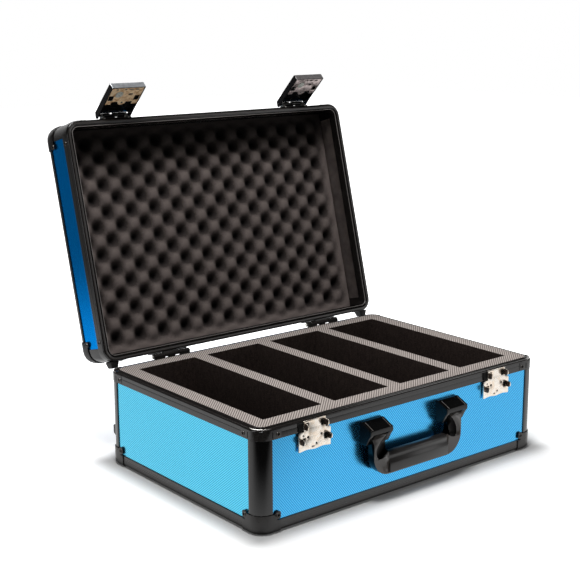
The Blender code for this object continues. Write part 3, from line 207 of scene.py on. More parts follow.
def circle(centre: Point, radius: float, steps: int) -> Loop:
    """A closed circle as points."""
    return arc(centre, radius, 0, 360 - 360 / steps, steps - 1)


def rounded(centre: Point, half: Point, radius: float, steps: int) -> Loop:
    """A rectangle with round corners.

    Args:
        centre: Its middle.
        half: Half its width and half its height.
        radius: Its corner radius.
        steps: Chords per corner.

    Returns:
        The closed outline's points.
    """
    points: Loop = []
    for turn, (side_x, side_y) in enumerate(((1, 1), (-1, 1), (-1, -1), (1, -1))):
        spot = (centre[0] + side_x * (half[0] - radius), centre[1] + side_y * (half[1] - radius))
        points += arc(spot, radius, turn * 90, turn * 90 + 90, steps)
    return points


def drawn_loops(work: Mesh, loops: Iterable[Loop]) -> list[bmesh.types.BMEdge]:
    """Draws closed outlines in the XY plane.

    Args:
        work: The mesh to draw in.
        loops: The outlines.

    Returns:
        Their edges.
    """
    edges = []
    for loop in loops:
        corners = [work.verts.new((x, y, 0)) for x, y in loop]
        edges += [work.edges.new(pair) for pair in zip(corners, corners[1:] + corners[:1])]
    return edges


def bevel(work: Mesh, edges: Sequence[bmesh.types.BMEdge], width: float, segments: int = 2) -> None:
    """Rounds edges.

    Args:
        work: The mesh.
        edges: Its edges to round.
        width: Width of the bevel.
        segments: Facets across it.
    """
    bmesh.ops.bevel(work, geom=edges, offset=width, segments=segments, profile=0.5, affect="EDGES",
                    offset_type="OFFSET", material=-1, clamp_overlap=True)


def edge_round(work: Mesh, width: float, segments: int = 2) -> None:
    """Rounds every sharp edge.

    Args:
        work: The mesh.
        width: Width of the bevel.
        segments: Facets across it.
    """
    sharp = [edge for edge in work.edges if edge.is_manifold and edge.calc_face_angle(0) > SHARP]
    bevel(work, sharp, width, segments)


def stamping(loops: Sequence[Loop], thickness: float, start: float = 0, edge: float = 0) -> Mesh:
    """A flat plate cut to an outline, with holes.

    Args:
        loops: The outline and then its holes.
        thickness: The plate's thickness, along Z.
        start: Where its lower face lies.
        edge: Width of the rounding on its edges.

    Returns:
        The plate.
    """
    per_metre = 1000
    work = bmesh.new()
    edges = drawn_loops(work, [[(x * per_metre, y * per_metre) for x, y in loop] for loop in loops])
    bmesh.ops.triangle_fill(work, use_beauty=True, use_dissolve=False, edges=edges)
    bmesh.ops.scale(work, vec=(1 / per_metre,) * 3, verts=work.verts)
    bmesh.ops.recalc_face_normals(work, faces=work.faces)
    bmesh.ops.solidify(work, geom=work.faces[:], thickness=thickness)
    bmesh.ops.recalc_face_normals(work, faces=work.faces)
    low = min(vertex.co.z for vertex in work.verts)
    bmesh.ops.translate(work, verts=work.verts, vec=(0, 0, start - low))
    if edge:
        edge_round(work, edge)
    return work


def block(low: Sequence[float], high: Sequence[float], edge: float = 0) -> Mesh:
    """A box between two corners, with rounded edges.

    Args:
        low: Its lowest corner.
        high: Its highest corner.
        edge: Width of the rounding.

    Returns:
        The box.
    """
    work = bmesh.new()
    low_corner, high_corner = Vector(low), Vector(high)
    place = Matrix.LocRotScale((low_corner + high_corner) / 2, None, high_corner - low_corner)
    bmesh.ops.create_cube(work, size=1, matrix=place)
    if edge:
        edge_round(work, edge)
    return work


@dataclass(frozen=True)
class RivetHead:
    """A rivet head on Z = 0, with a short skirt below: domed, or with a dish in its middle whose dark finish
    is painted shade.
    """

    radius: float
    height: float
    dish: float = 0
    taper: float = 0.86
    dome_skirt: float = 0.35
    dish_skirt: float = 0.4
    dish_wall: float = 0.12
    dish_depth: float = 0.8

    def domed(self) -> Mesh:
        """Builds a domed head.

        Returns:
            Its mesh.
        """
        work = bmesh.new()
        bmesh.ops.create_uvsphere(work, u_segments=16, v_segments=10, radius=1)
        under = [vertex for vertex in work.verts if vertex.co.z < -NEAR]
        bmesh.ops.scale(work, vec=(1, 1, self.dome_skirt), verts=under)
        bmesh.ops.scale(work, vec=(self.radius, self.radius, self.height), verts=work.verts)
        return work

    def dished(self) -> Mesh:
        """Builds a flat head whose dish has the second finish, which is painted shade.

        Returns:
            Its mesh.
        """
        work = bmesh.new()
        flat = self.radius * self.taper
        middle = Matrix.Translation((0, 0, self.height * (1 - self.dish_skirt) / 2))
        bmesh.ops.create_cone(work, cap_ends=True, segments=18, radius1=self.radius, radius2=flat,
                              depth=self.height * (1 + self.dish_skirt), matrix=middle)
        top = max(work.faces, key=lambda face: face.calc_center_median().z)
        bmesh.ops.inset_region(work, faces=[top], thickness=flat - self.dish, depth=0)
        bmesh.ops.inset_region(work, faces=[top], thickness=self.dish_wall * self.dish,
                               depth=-self.dish_depth * self.height)
        for face in work.faces:
            centre = face.calc_center_median()
            in_dish = math.hypot(centre.x, centre.y) < self.dish and centre.z > 0
            if face is top or (face.normal.z < 0.9 and in_dish):
                face.material_index = 1
        return work

    def mesh(self) -> Mesh:
        """The head, dished if it has a dish."""
        return self.dished() if self.dish else self.domed()


def merged(parts: Iterable[tuple[Mesh, Matrix]]) -> Mesh:
    """Joins placed parts in one mesh and frees them.

    Args:
        parts: Each part and where it goes.

    Returns:
        The joined mesh.
    """
    whole = bmesh.new()
    for part, place in parts:
        bmesh.ops.transform(part, matrix=place, verts=part.verts)
        mesh = bpy.data.meshes.new("part")
        part.to_mesh(mesh)
        part.free()
        whole.from_mesh(mesh)
        bpy.data.meshes.remove(mesh)
    return whole


def finished(name: str, work: Mesh, finishes: Sequence[Material], body: Body,
             place: Matrix = Matrix(), smooth: float = 38, replaces: Sequence[str] = ()) -> bpy.types.Object:
    """Turns a bmesh into a piece that rides on a body.

    Args:
        name: The piece's name.
        work: Its mesh, which is freed.
        finishes: Its materials.
        body: The body that it rides on.
        place: Where it goes, in the frame at rest.
        smooth: Edges flatter than this are shaded smooth, in degrees.
        replaces: The solids that it stands for.

    Returns:
        The piece.
    """
    bmesh.ops.transform(work, matrix=place, verts=work.verts)
    mesh = bpy.data.meshes.new(name)
    work.to_mesh(mesh)
    work.free()
    for finish in finishes:
        mesh.materials.append(finish)
    mesh.shade_smooth()
    mesh.set_sharp_from_angle(angle=math.radians(smooth))
    piece = bpy.data.objects.new(name, mesh)
    bpy.context.scene.collection.objects.link(piece)
    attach(piece, body.value)
    if replaces:
        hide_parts(*replaces)
    LOG.info("%s rides on %s", name, body.value)
    return piece


@dataclass(frozen=True)
class Change:
    """A smooth change: the values where it begins and ends, and the results before and after it."""

    low: float
    high: float
    first: float
    last: float


class Nodes:
    """A node tree whose nodes are added one by one."""

    def __init__(self, tree: bpy.types.NodeTree) -> None:
        """Keeps the tree."""
        self.tree = tree

    def feed(self, node: bpy.types.Node, inputs: dict) -> None:
        """Links sockets to a node's inputs, or sets them.

        Args:
            node: The node.
            inputs: Input name or number to a socket or a value.
        """
        for key, value in inputs.items():
            if isinstance(value, bpy.types.NodeSocket):
                self.tree.links.new(value, node.inputs[key])
            else:
                node.inputs[key].default_value = value

    def node(self, kind: str, inputs: Optional[dict] = None, **settings: object) -> bpy.types.Node:
        """Adds a node.

        Args:
            kind: The node's type after ShaderNode.
            inputs: Its inputs.
            **settings: Its properties.

        Returns:
            The node.
        """
        node = self.tree.nodes.new("ShaderNode" + kind)
        for key, value in settings.items():
            setattr(node, key, value)
        self.feed(node, inputs or {})
        return node

    def coordinates(self, space: str) -> Socket:
        """Texture coordinates of a space."""
        return self.node("TexCoord").outputs[space]

    def math(self, operation: str, *inputs: object) -> Socket:
        """A sum of up to three numbers, with a Math node's operation."""
        return self.node("Math", dict(enumerate(inputs)), operation=operation).outputs[0]

    def vector(self, operation: str, *inputs: object) -> Socket:
        """A sum of up to two vectors, with a Vector Math node's operation."""
        node = self.node("VectorMath", dict(enumerate(inputs)), operation=operation)
        return node.outputs["Value" if operation in ("DOT_PRODUCT", "LENGTH") else "Vector"]

    def reach(self, vector: Socket, direction: Sequence[float]) -> Socket:
        """How far a vector reaches along a direction."""
        return self.vector("DOT_PRODUCT", vector, tuple(direction))

    def follow(self, value: Socket, change: Change) -> Socket:
        """A result that changes while a value rises.

        Args:
            value: The value.
            change: The change.

        Returns:
            The result's socket.
        """
        inputs = {"Value": value, "From Min": change.low, "From Max": change.high, "To Min": change.first,
                  "To Max": change.last}
        return self.node("MapRange", inputs, interpolation_type="SMOOTHSTEP").outputs[0]

    def choice(self, test: Socket, no: object, yes: object) -> Socket:
        """One of two numbers or sockets, chosen by a test of 0 or 1."""
        return self.node("Mix", {0: test, 2: no, 3: yes}).outputs[0]


class Shader(Nodes):
    """A Principled material whose nodes are added one by one."""

    def __init__(self, name: str) -> None:
        """Starts the material.

        Args:
            name: The finish's name.
        """
        self.material = bpy.data.materials.new(name)
        self.material.use_nodes = True
        super().__init__(self.material.node_tree)
        self.surface = self.tree.nodes["Principled BSDF"]
        self.place = self.coordinates("Object")
        self.normal = self.coordinates("Normal")

    def along(self, direction: Sequence[float]) -> Socket:
        """How far the place reaches along a direction."""
        return self.reach(self.place, direction)

    def facing(self, direction: Sequence[float]) -> Socket:
        """How far the surface faces in a direction."""
        return self.reach(self.normal, direction)

    def wave(self, phase: Socket) -> Socket:
        """A sine wave from 0 to 1."""
        return self.math("MULTIPLY_ADD", self.math("SINE", phase), 0.5, 0.5)

    def noise(self, scale: float, stretch: Sequence[float] = (1, 1, 1), detail: float = 3,
              roughness: float = 0.55) -> Socket:
        """Noise in the piece's own space.

        Args:
            scale: How fine it is.
            stretch: How much finer it is along each axis.
            detail: How many octaves.
            roughness: How strong the finer ones are.

        Returns:
            The noise's socket, from 0 to 1.
        """
        mapped = self.node("Mapping", {"Vector": self.place, "Scale": tuple(stretch)}).outputs[0]
        inputs = {"Vector": mapped, "Scale": scale, "Detail": detail, "Roughness": roughness}
        return self.node("TexNoise", inputs).outputs[0]

    def cells(self, scale: float) -> Socket:
        """Distance to the middle of the nearest foam cell."""
        return self.node("TexVoronoi", {"Vector": self.place, "Scale": scale}).outputs["Distance"]

    def ramp(self, factor: Socket, stops: Stops) -> Socket:
        """Colours along a factor.

        Args:
            factor: The factor.
            stops: Places and colours.

        Returns:
            The colour's socket.
        """
        node = self.node("ValToRGB", {"Fac": factor})
        elements = node.color_ramp.elements
        while len(elements) < len(stops):
            elements.new(0.5)
        for element, (place, colour) in zip(elements, stops):
            element.position = place
            element.color = (*colour, 1)
        return node.outputs[0]

    def shaded(self, factor: Socket, colour: Colour, shade: float, span: Point = (0.3, 0.7)) -> Socket:
        """A colour that gets darker where a factor is low.

        Args:
            factor: The factor.
            colour: The colour.
            shade: What it is multiplied by where it is darkest.
            span: The factors at which it is darkest and at which it is itself.

        Returns:
            The colour's socket.
        """
        return self.ramp(factor, ((span[0], toned(colour, shade)), (span[1], colour)))

    def around(self, value: Socket, middle: float, spread: float) -> Socket:
        """A number that follows a value, by half a spread to either side of a middle."""
        return self.math("MULTIPLY_ADD", value, spread, middle - spread / 2)

    def blend(self, factor: object, first: object, second: object, mode: str = "MIX") -> Socket:
        """A mix of two colours.

        Args:
            factor: How much of the second.
            first: The first colour.
            second: The second colour.
            mode: How they mix.

        Returns:
            The colour's socket.
        """
        first, second = ((*colour, 1) if isinstance(colour, tuple) else colour for colour in (first, second))
        inputs = {0: factor, 6: first, 7: second}
        return self.node("Mix", inputs, data_type="RGBA", blend_type=mode).outputs[2]

    def bump(self, height: Socket, relief: Point) -> Socket:
        """A bumped normal.

        Args:
            height: The height, from 0 to 1.
            relief: The bump's strength, and how deep a height of 1 is in metres.

        Returns:
            The normal's socket.
        """
        return self.node("Bump", {"Height": height, "Strength": relief[0], "Distance": relief[1]}).outputs[0]

    def done(self, **inputs: object) -> Material:
        """Feeds the surface and returns the material.

        Args:
            **inputs: The surface's inputs, with _ for a space in their names.

        Returns:
            The material.
        """
        self.feed(self.surface, {key.replace("_", " "): value for key, value in inputs.items()})
        return self.material


@dataclass(frozen=True)
class WovenSkin:
    """Blue skin embossed with a fine diagonal weave, black on the side that faces into the case."""

    name: str
    outward: Vector
    across: Vector
    upward: Vector
    slant: int
    cell: Point
    deep: Colour = (0.025, 0.31, 0.70)
    middle: Colour = (0.080, 0.49, 0.90)
    bright: Colour = (0.22, 0.78, 1.0)
    edge: Colour = (1.0, 1.0, 1.0)
    lining: Stops = ((0.3, (0.048, 0.039, 0.036)), (0.75, (0.090, 0.073, 0.066)))
    lining_scale: float = 60
    grain_scale: float = 900
    cross_share: float = 0.30
    relief: Point = (0.16, 0.00025)
    roughness: float = 0.17
    spread: float = 0.10
    metallic: float = 0.96

    def make(self) -> Material:
        """Makes the finish.

        Returns:
            Its material.
        """
        shader = Shader(self.name)
        run, rise = (2 * math.pi / size for size in self.cell)
        across, upward = self.across * run, self.upward * (self.slant * rise)
        ridge, cross = (shader.wave(shader.along(way)) for way in (across + upward, across - upward))
        weave = shader.math("MULTIPLY", ridge, shader.math("MULTIPLY_ADD", cross, self.cross_share, 0.5))
        colour = shader.ramp(weave, ((0.0, self.deep), (0.45, self.middle), (1.0, self.bright)))
        outside = shader.math("GREATER_THAN", shader.facing(self.outward), 0.5)
        lining = shader.ramp(shader.noise(self.lining_scale), self.lining)
        grain = shader.noise(self.grain_scale, detail=2)
        return shader.done(Base_Color=shader.blend(outside, lining, colour),
                           Roughness=shader.math("MULTIPLY_ADD", grain, self.spread, self.roughness),
                           Metallic=shader.math("MULTIPLY", outside, self.metallic),
                           Normal=shader.bump(weave, self.relief), Specular_Tint=(*self.edge, 1))


@dataclass(frozen=True)
class AnodisedBar:
    """Black anodised aluminium with the fine lines that drawing leaves along the bar."""

    name: str
    along: Vector
    colour: Colour = (0.015, 0.013, 0.012)
    roughness: float = 0.27
    shine: float = 0.62
    spread: float = 0.12
    across_scale: float = 500
    along_scale: float = 6
    cloud_scale: float = 14
    relief: Point = (0.10, 0.00012)

    def make(self) -> Material:
        """Makes the finish.

        Returns:
            Its material.
        """
        shader = Shader(self.name)
        stretch = [self.across_scale if abs(axis) < 0.5 else self.along_scale for axis in self.along]
        lines = shader.noise(1.0, stretch, detail=2)
        cloud = shader.noise(self.cloud_scale, detail=4)
        return shader.done(Base_Color=shader.shaded(cloud, self.colour, 0.7),
                           Roughness=shader.around(lines, self.roughness, self.spread),
                           Normal=shader.bump(lines, self.relief), Specular_IOR_Level=self.shine)


@dataclass(frozen=True)
class Lacquer:
    """Black lacquer over pressed steel, with orange peel and faint handling marks."""

    name: str
    colour: Colour = (0.014, 0.012, 0.011)
    roughness: float = 0.30
    shine: float = 0.5
    spread: float = 0.18
    peel_scale: float = 1400
    mark_scale: float = 55
    relief: Point = (0.10, 0.00012)

    def make(self) -> Material:
        """Makes the finish.

        Returns:
            Its material.
        """
        shader = Shader(self.name)
        peel = shader.noise(self.peel_scale, detail=2)
        marks = shader.noise(self.mark_scale, (1, 1, 3), detail=5, roughness=0.65)
        stops = ((0.35, toned(self.colour, 0.75)), (0.62, self.colour), (0.8, toned(self.colour, 1.35)))
        return shader.done(Base_Color=shader.ramp(marks, stops),
                           Roughness=shader.around(marks, self.roughness, self.spread),
                           Normal=shader.bump(peel, self.relief), Specular_IOR_Level=self.shine)


@dataclass(frozen=True)
class HandleArm:
    """Moulding of the handle's arms, all one black plastic: a lighter satin front face as painted reflection,
    and gloss black flanks and dishes as painted shade.
    """

    name: str
    face: Colour = (0.062, 0.055, 0.051)
    black: Colour = (0.002, 0.0018, 0.0018)
    scoop: Point = (0.0574, 0.0766)
    scoop_half: Point = (0.0102, 0.0192)
    scoop_tilt: float = 39
    cloud_scale: float = 30
    spark_scale: float = 1800
    relief: Point = (0.02, 0.0001)
    roughness: float = 0.22
    shine: float = 0.6

    def dishes(self, shader: Shader) -> Socket:
        """A mask of the tilted oval dish in each arm, which is painted dark as shade.

        Args:
            shader: The material that it belongs to.

        Returns:
            The mask's socket, 1 in a dish.
        """
        cosine, sine = math.cos(math.radians(self.scoop_tilt)), math.sin(math.radians(self.scoop_tilt))
        aside = shader.math("SUBTRACT", shader.math("ABSOLUTE", shader.along(ALONG_X)), self.scoop[0])
        lift = shader.math("SUBTRACT", shader.along(UP), self.scoop[1])
        squares = []
        for first, second, half in ((cosine, sine, self.scoop_half[0]), (-sine, cosine, self.scoop_half[1])):
            part = shader.math("ADD", shader.math("MULTIPLY", aside, first / half),
                               shader.math("MULTIPLY", lift, second / half))
            squares.append(shader.math("MULTIPLY", part, part))
        return shader.math("LESS_THAN", shader.math("ADD", *squares), 1)

    def make(self) -> Material:
        """Makes the finish.

        Returns:
            Its material.
        """
        shader = Shader(self.name)
        # Painted light: faces that do not face the front, and the dishes, are painted gloss black as shade;
        # the front face takes the lighter satin tone as painted reflection.
        painted_shade_flank = shader.math("LESS_THAN", shader.facing(-ALONG_Y), 0.6)
        dark = shader.math("MAXIMUM", self.dishes(shader), painted_shade_flank)
        satin = shader.shaded(shader.noise(self.cloud_scale), self.face, 0.88)
        return shader.done(Base_Color=shader.blend(dark, satin, self.black), Roughness=self.roughness,
                           Metallic=dark, Specular_IOR_Level=self.shine,
                           Normal=shader.bump(shader.noise(self.spark_scale), self.relief))


@dataclass(frozen=True)
class Moulded:
    """Moulded plastic or rubber, from a fine spark texture to a gloss."""

    name: str
    colour: Colour
    roughness: float
    texture: float = 0.15
    shine: float = 0.3
    spread: float = 0.12
    spark_scale: float = 1800
    cloud_scale: float = 30
    spark_depth: float = 0.0001

    def make(self) -> Material:
        """Makes the finish.

        Returns:
            Its material.
        """
        shader = Shader(self.name)
        spark = shader.noise(self.spark_scale)
        return shader.done(Base_Color=shader.shaded(shader.noise(self.cloud_scale), self.colour, 0.86),
                           Roughness=shader.around(spark, self.roughness, self.spread),
                           Normal=shader.bump(spark, (self.texture, self.spark_depth)),
                           Specular_IOR_Level=self.shine)


@dataclass(frozen=True)
class Plated:
    """Plated steel: a tone, the stain in its blotches, and fine scratches."""

    name: str
    colour: Colour
    stain: Colour
    roughness: float = 0.3
    metallic: float = 0.8
    blotch: float = 120
    scratch_scale: float = 40
    polish: float = 0.1
    spread: float = 0.22
    relief: Point = (0.08, 0.0001)

    def make(self) -> Material:
        """Makes the finish.

        Returns:
            Its material.
        """
        shader = Shader(self.name)
        blotches = shader.noise(self.blotch, detail=4, roughness=0.6)
        scratches = shader.noise(self.scratch_scale, (1, 12, 40), detail=4, roughness=0.7)
        roughness = shader.math("MULTIPLY_ADD", scratches, self.spread, self.roughness - self.polish)
        return shader.done(Base_Color=shader.ramp(blotches, ((0.38, self.stain), (0.56, self.colour))),
                           Metallic=self.metallic, Roughness=roughness,
                           Normal=shader.bump(scratches, self.relief))


@dataclass(frozen=True)
class CoverSteel:
    """Dark plated steel with worn scratches, and a pale nose that is a painted reflection."""

    name: str
    outward: Vector
    nose: Colour
    colour: Colour = (0.016, 0.015, 0.016)
    wear_scale: float = 150
    scratch_scale: float = 40
    relief: Point = (0.07, 0.0001)
    roughness: float = 0.24
    metallic: float = 0.55

    def make(self) -> Material:
        """Makes the finish.

        Returns:
            Its material.
        """
        shader = Shader(self.name)
        wear = shader.noise(self.wear_scale, detail=4, roughness=0.65)
        black = shader.shaded(wear, self.colour, 0.4, (0.35, 0.7))
        pale = shader.shaded(wear, self.nose, 0.7, (0.35, 0.6))
        # Painted reflection: the faces at the nose take the pale tone.
        nose_reflection_mask = shader.math("GREATER_THAN", shader.facing(self.outward), 0.6)
        scratches = shader.noise(self.scratch_scale, (9, 1, 9), detail=4, roughness=0.7)
        return shader.done(Base_Color=shader.blend(nose_reflection_mask, black, pale), Metallic=self.metallic,
                           Roughness=self.roughness, Normal=shader.bump(scratches, self.relief))


@dataclass(frozen=True)
class BracketSteel:
    """Dark plated steel, with its two lugs painted bright as highlights."""

    name: str
    centre: float
    lug: Point = (0.0182, 0.0208)
    dark: Colour = (0.010, 0.0095, 0.0095)
    bright: Colour = (0.86, 0.84, 0.78)
    stain_scale: float = 240
    scratch_scale: float = 60
    relief: Point = (0.08, 0.0001)
    roughness: float = 0.3
    metallic: float = 0.7
    shine: float = 0.25

    def make(self) -> Material:
        """Makes the finish.

        Returns:
            Its material.
        """
        shader = Shader(self.name)
        aside = shader.math("ABSOLUTE", shader.math("SUBTRACT", shader.along(ALONG_X), self.centre))
        inner, outer = self.lug
        # Painted highlight: the lugs take the bright tone.
        lug_highlight_mask = shader.math("MULTIPLY", shader.math("GREATER_THAN", aside, inner),
                             shader.math("LESS_THAN", aside, outer))
        stain = shader.shaded(shader.noise(self.stain_scale), self.bright, 0.6, (0.35, 0.6))
        scratches = shader.noise(self.scratch_scale, (1, 9, 9))
        return shader.done(Base_Color=shader.blend(lug_highlight_mask, self.dark, stain), Roughness=self.roughness,
                           Metallic=shader.math("MULTIPLY", lug_highlight_mask, self.metallic),
                           Normal=shader.bump(scratches, self.relief), Specular_IOR_Level=self.shine)


@dataclass(frozen=True)
class RibbedFoamSkin:
    """Top of the foam block: a pale skin with fine dark grooves that run aslant."""

    name: str
    pitch: float = 0.0029
    light: Colour = (0.40, 0.355, 0.33)
    groove: Colour = (0.13, 0.108, 0.098)
    wobble_scale: float = 120
    wobble: float = 0.9
    dash_pitch: float = 0.8
    dash_share: float = 0.22
    pore_scale: float = 1500
    pore_share: float = 0.4
    relief: Point = (0.5, 0.0004)

    def make(self) -> Material:
        """Makes the finish.

        Returns:
            Its material.
        """
        shader = Shader(self.name)
        turns = 2 * math.pi / (self.pitch * math.sqrt(2))
        wobble = shader.math("MULTIPLY", shader.noise(self.wobble_scale, detail=2), self.wobble)
        wave = shader.wave(shader.math("ADD", shader.along((ALONG_X - ALONG_Y) * turns), wobble))
        dash = shader.wave(shader.along((ALONG_X + ALONG_Y) * turns * self.dash_pitch))
        level = shader.math("SUBTRACT", wave, shader.math("MULTIPLY", dash, self.dash_share))
        colour = shader.ramp(level, ((0.12, self.groove), (0.55, self.light), (1.0, toned(self.light, 1.15))))
        pores = shader.noise(self.pore_scale, detail=2)
        height = shader.math("ADD", wave, shader.math("MULTIPLY", pores, self.pore_share))
        return shader.done(Base_Color=colour, Roughness=0.85, Normal=shader.bump(height, self.relief),
                           Specular_IOR_Level=0.2)


@dataclass(frozen=True)
class CutFoam:
    """Cut foam: fine cells, with drag marks from the cutting wire along Z."""

    name: str
    colour: Colour
    dark: Colour
    cells: float = 700
    cell_share: float = 0.5
    fuzz_scale: float = 260
    fuzz_share: float = 0.75
    drag: Triple = (1, 1, 0.4)
    relief: Point = (0.8, 0.0006)

    def make(self) -> Material:
        """Makes the finish.

        Returns:
            Its material.
        """
        shader = Shader(self.name)
        fuzz = shader.noise(self.fuzz_scale, self.drag, detail=5, roughness=0.7)
        level = shader.math("ADD", shader.math("MULTIPLY", shader.cells(self.cells), self.cell_share),
                            shader.math("MULTIPLY", fuzz, self.fuzz_share))
        colour = shader.ramp(level, ((0.35, self.dark), (0.8, self.colour)))
        return shader.done(Base_Color=colour, Roughness=0.95, Normal=shader.bump(level, self.relief),
                           Specular_IOR_Level=0.1)


@dataclass(frozen=True)
class CrateFoam:
    """Egg-crate foam: fine cells; paler on the peaks and darker in the pits as painted shade, and darker
    towards the lid's front wall as that wall's painted shadow.
    """

    name: str
    peak: Colour = (0.134, 0.110, 0.102)
    slope: Colour = (0.037, 0.030, 0.028)
    pit: Colour = (0.003, 0.0025, 0.0025)
    peak_height: float = 0.1718
    depth: float = 0.0130
    # dim_from, dim_to and dim set the painted shadow that the lid's front wall casts on the foam.
    dim_from: float = -0.152
    dim_to: float = -0.088
    dim: float = 0.16
    cells: float = 900
    fuzz_scale: float = 260
    fuzz_share: float = 0.35
    relief: Point = (0.6, 0.0004)

    def make(self) -> Material:
        """Makes the finish.

        Returns:
            Its material.
        """
        shader = Shader(self.name)
        carry = SIZES.lid_frame
        outward, rearward = (carry.to_3x3() @ way for way in (UP, ALONG_Y))
        start = (carry @ Vector((0, 0, self.peak_height))).dot(outward)
        sunk = shader.math("DIVIDE", shader.math("SUBTRACT", shader.along(outward), start), self.depth)
        fuzz = shader.noise(self.fuzz_scale, detail=5, roughness=0.7)
        ragged = shader.math("MULTIPLY", shader.math("SUBTRACT", fuzz, 0.5), self.fuzz_share)
        # Painted shade: paler on the peaks, darker in the pits.
        colour = shader.ramp(shader.math("ADD", sunk, ragged),
                             ((0.05, self.peak), (0.45, self.slope), (0.95, self.pit)))
        first, last = ((carry @ Vector((0, y, self.peak_height))).dot(rearward)
                       for y in (self.dim_from, self.dim_to))
        # Painted shadow of the lid's front wall: darker towards that wall.
        lit = shader.follow(shader.along(rearward), Change(first, last, self.dim, 1.0))
        height = shader.math("ADD", shader.cells(self.cells), fuzz)
        return shader.done(Base_Color=shader.blend(1.0, colour, lit, "MULTIPLY"), Roughness=0.95,
                           Specular_IOR_Level=0.1, Normal=shader.bump(height, self.relief))


class Finishes:
    """The case's finishes, each made once."""

    def __init__(self) -> None:
        """Makes the finishes."""
        self.make_bars()
        self.make_lacquers_and_mouldings()
        self.make_platings()
        self.foam_skin = RibbedFoamSkin("ribbed_foam_skin").make()
        self.foam_wall = CutFoam("cut_foam_wall", (0.026, 0.018, 0.015), (0.005, 0.003, 0.003)).make()
        self.crate = CrateFoam("egg_crate_foam").make()

    def make_bars(self) -> None:
        """Makes the finishes of rails, posts and rims."""
        # Painted shade: the lid's bars and rim take darker copies of the base's anodised black.
        lid_black = (0.010, 0.009, 0.009)
        lid_y = SIZES.lid_frame.to_3x3() @ ALONG_Y
        self.rail_x = AnodisedBar("anodised_bar_along_x", ALONG_X).make()
        self.rail_y = AnodisedBar("anodised_bar_along_y", ALONG_Y).make()
        self.post = AnodisedBar("anodised_corner_post", UP, colour=(0.0015, 0.0013, 0.0013), roughness=0.13,
                                shine=0.78).make()
        self.lid_side_rail = AnodisedBar("anodised_lid_side_bar", lid_y, colour=lid_black, shine=0.55).make()
        self.lid_rail = AnodisedBar("anodised_lid_bar", ALONG_X, colour=lid_black, shine=0.55).make()
        self.rim = AnodisedBar("anodised_base_rim", ALONG_X, roughness=0.17, shine=0.6).make()
        self.lid_rim = AnodisedBar("anodised_lid_rim", ALONG_X, colour=(0.006, 0.0052, 0.005), roughness=0.20,
                                   shine=0.5).make()
        # Painted highlights: the light bead and strip along the face of the lid's rim.
        self.highlight_bead = AnodisedBar("painted_highlight_rim_bead", ALONG_X, colour=(0.26, 0.24, 0.23), roughness=0.2).make()
        self.strip = AnodisedBar("painted_highlight_rim_strip", ALONG_X, colour=(0.040, 0.036, 0.034),
                                 roughness=0.3).make()

    def make_lacquers_and_mouldings(self) -> None:
        """Makes the finishes of caps, rivets, handle, feet, floor board and dark recesses."""
        self.cap = Lacquer("lacquered_corner_cap").make()
        # Painted shade: the lid's caps take a darker copy of the base caps' lacquer.
        self.lid_cap = Lacquer("lacquered_lid_cap", colour=(0.006, 0.005, 0.005), roughness=0.34,
                               shine=0.3).make()
        self.rivet = Lacquer("lacquered_rivet", colour=(0.055, 0.045, 0.038), roughness=0.2).make()
        self.hood = Moulded("gloss_handle_hood", (0.003, 0.003, 0.003), 0.13, texture=0.02, shine=0.35).make()
        # Painted highlight: the light tone of the ribs along the hoods' edges.
        self.hood_rib_highlight = Moulded("painted_highlight_hood_rib", (0.13, 0.12, 0.11), 0.15, texture=0.02, shine=0.8).make()
        self.arm = HandleArm("satin_handle_arm").make()
        self.grip = Moulded("soft_handle_grip", (0.020, 0.018, 0.0175), 0.3, texture=0.2, shine=0.55).make()
        self.rubber = Moulded("foot_rubber", (0.012, 0.011, 0.011), 0.5, texture=0.3).make()
        self.board = Moulded("floor_board_skin", (0.02, 0.02, 0.022), 0.55, texture=0.6).make()
        # This near-black finish is painted shade in the rivets' dishes and behind the keepers' windows; the
        # slits and the latch webs take it too.
        self.hollow = Moulded("dark_recess", (0.004, 0.004, 0.004), 0.8).make()

    def make_platings(self) -> None:
        """Makes the finishes of keepers, locks and bright parts."""
        # Painted highlight on the rounded corners of the base's rim.
        self.lip = Plated("worn_corner_lip", (0.80, 0.78, 0.75), (0.35, 0.33, 0.31), roughness=0.22).make()
        self.keeper = Plated("cream_nickel", (1.0, 0.93, 0.84), (0.97, 0.82, 0.67), roughness=0.26,
                             metallic=0.95, blotch=170).make()
        # Painted shade: the ears' flanks take this dark nickel tone.
        self.ear = Plated("shaded_nickel_ear", (0.10, 0.075, 0.06), (0.03, 0.02, 0.015), metallic=0.5,
                          blotch=300).make()
        # The left lock plate is browner than the right one.
        self.lock_left = Plated("brown_lock_plate", (1.0, 0.76, 0.49), (0.60, 0.32, 0.13), roughness=0.32,
                                metallic=0.12, blotch=150).make()
        self.lock_right = Plated("grey_lock_plate", (0.66, 0.56, 0.54), (0.34, 0.28, 0.27), metallic=0.6,
                                 blotch=170).make()
        self.cylinder = Plated("pale_lock_cylinder", (0.70, 0.73, 0.67), (0.46, 0.47, 0.42), metallic=0.25,
                               blotch=420).make()
        self.bright = Plated("bright_nickel", (0.93, 0.92, 0.86), (0.70, 0.68, 0.60), roughness=0.2,
                             metallic=0.7).make()


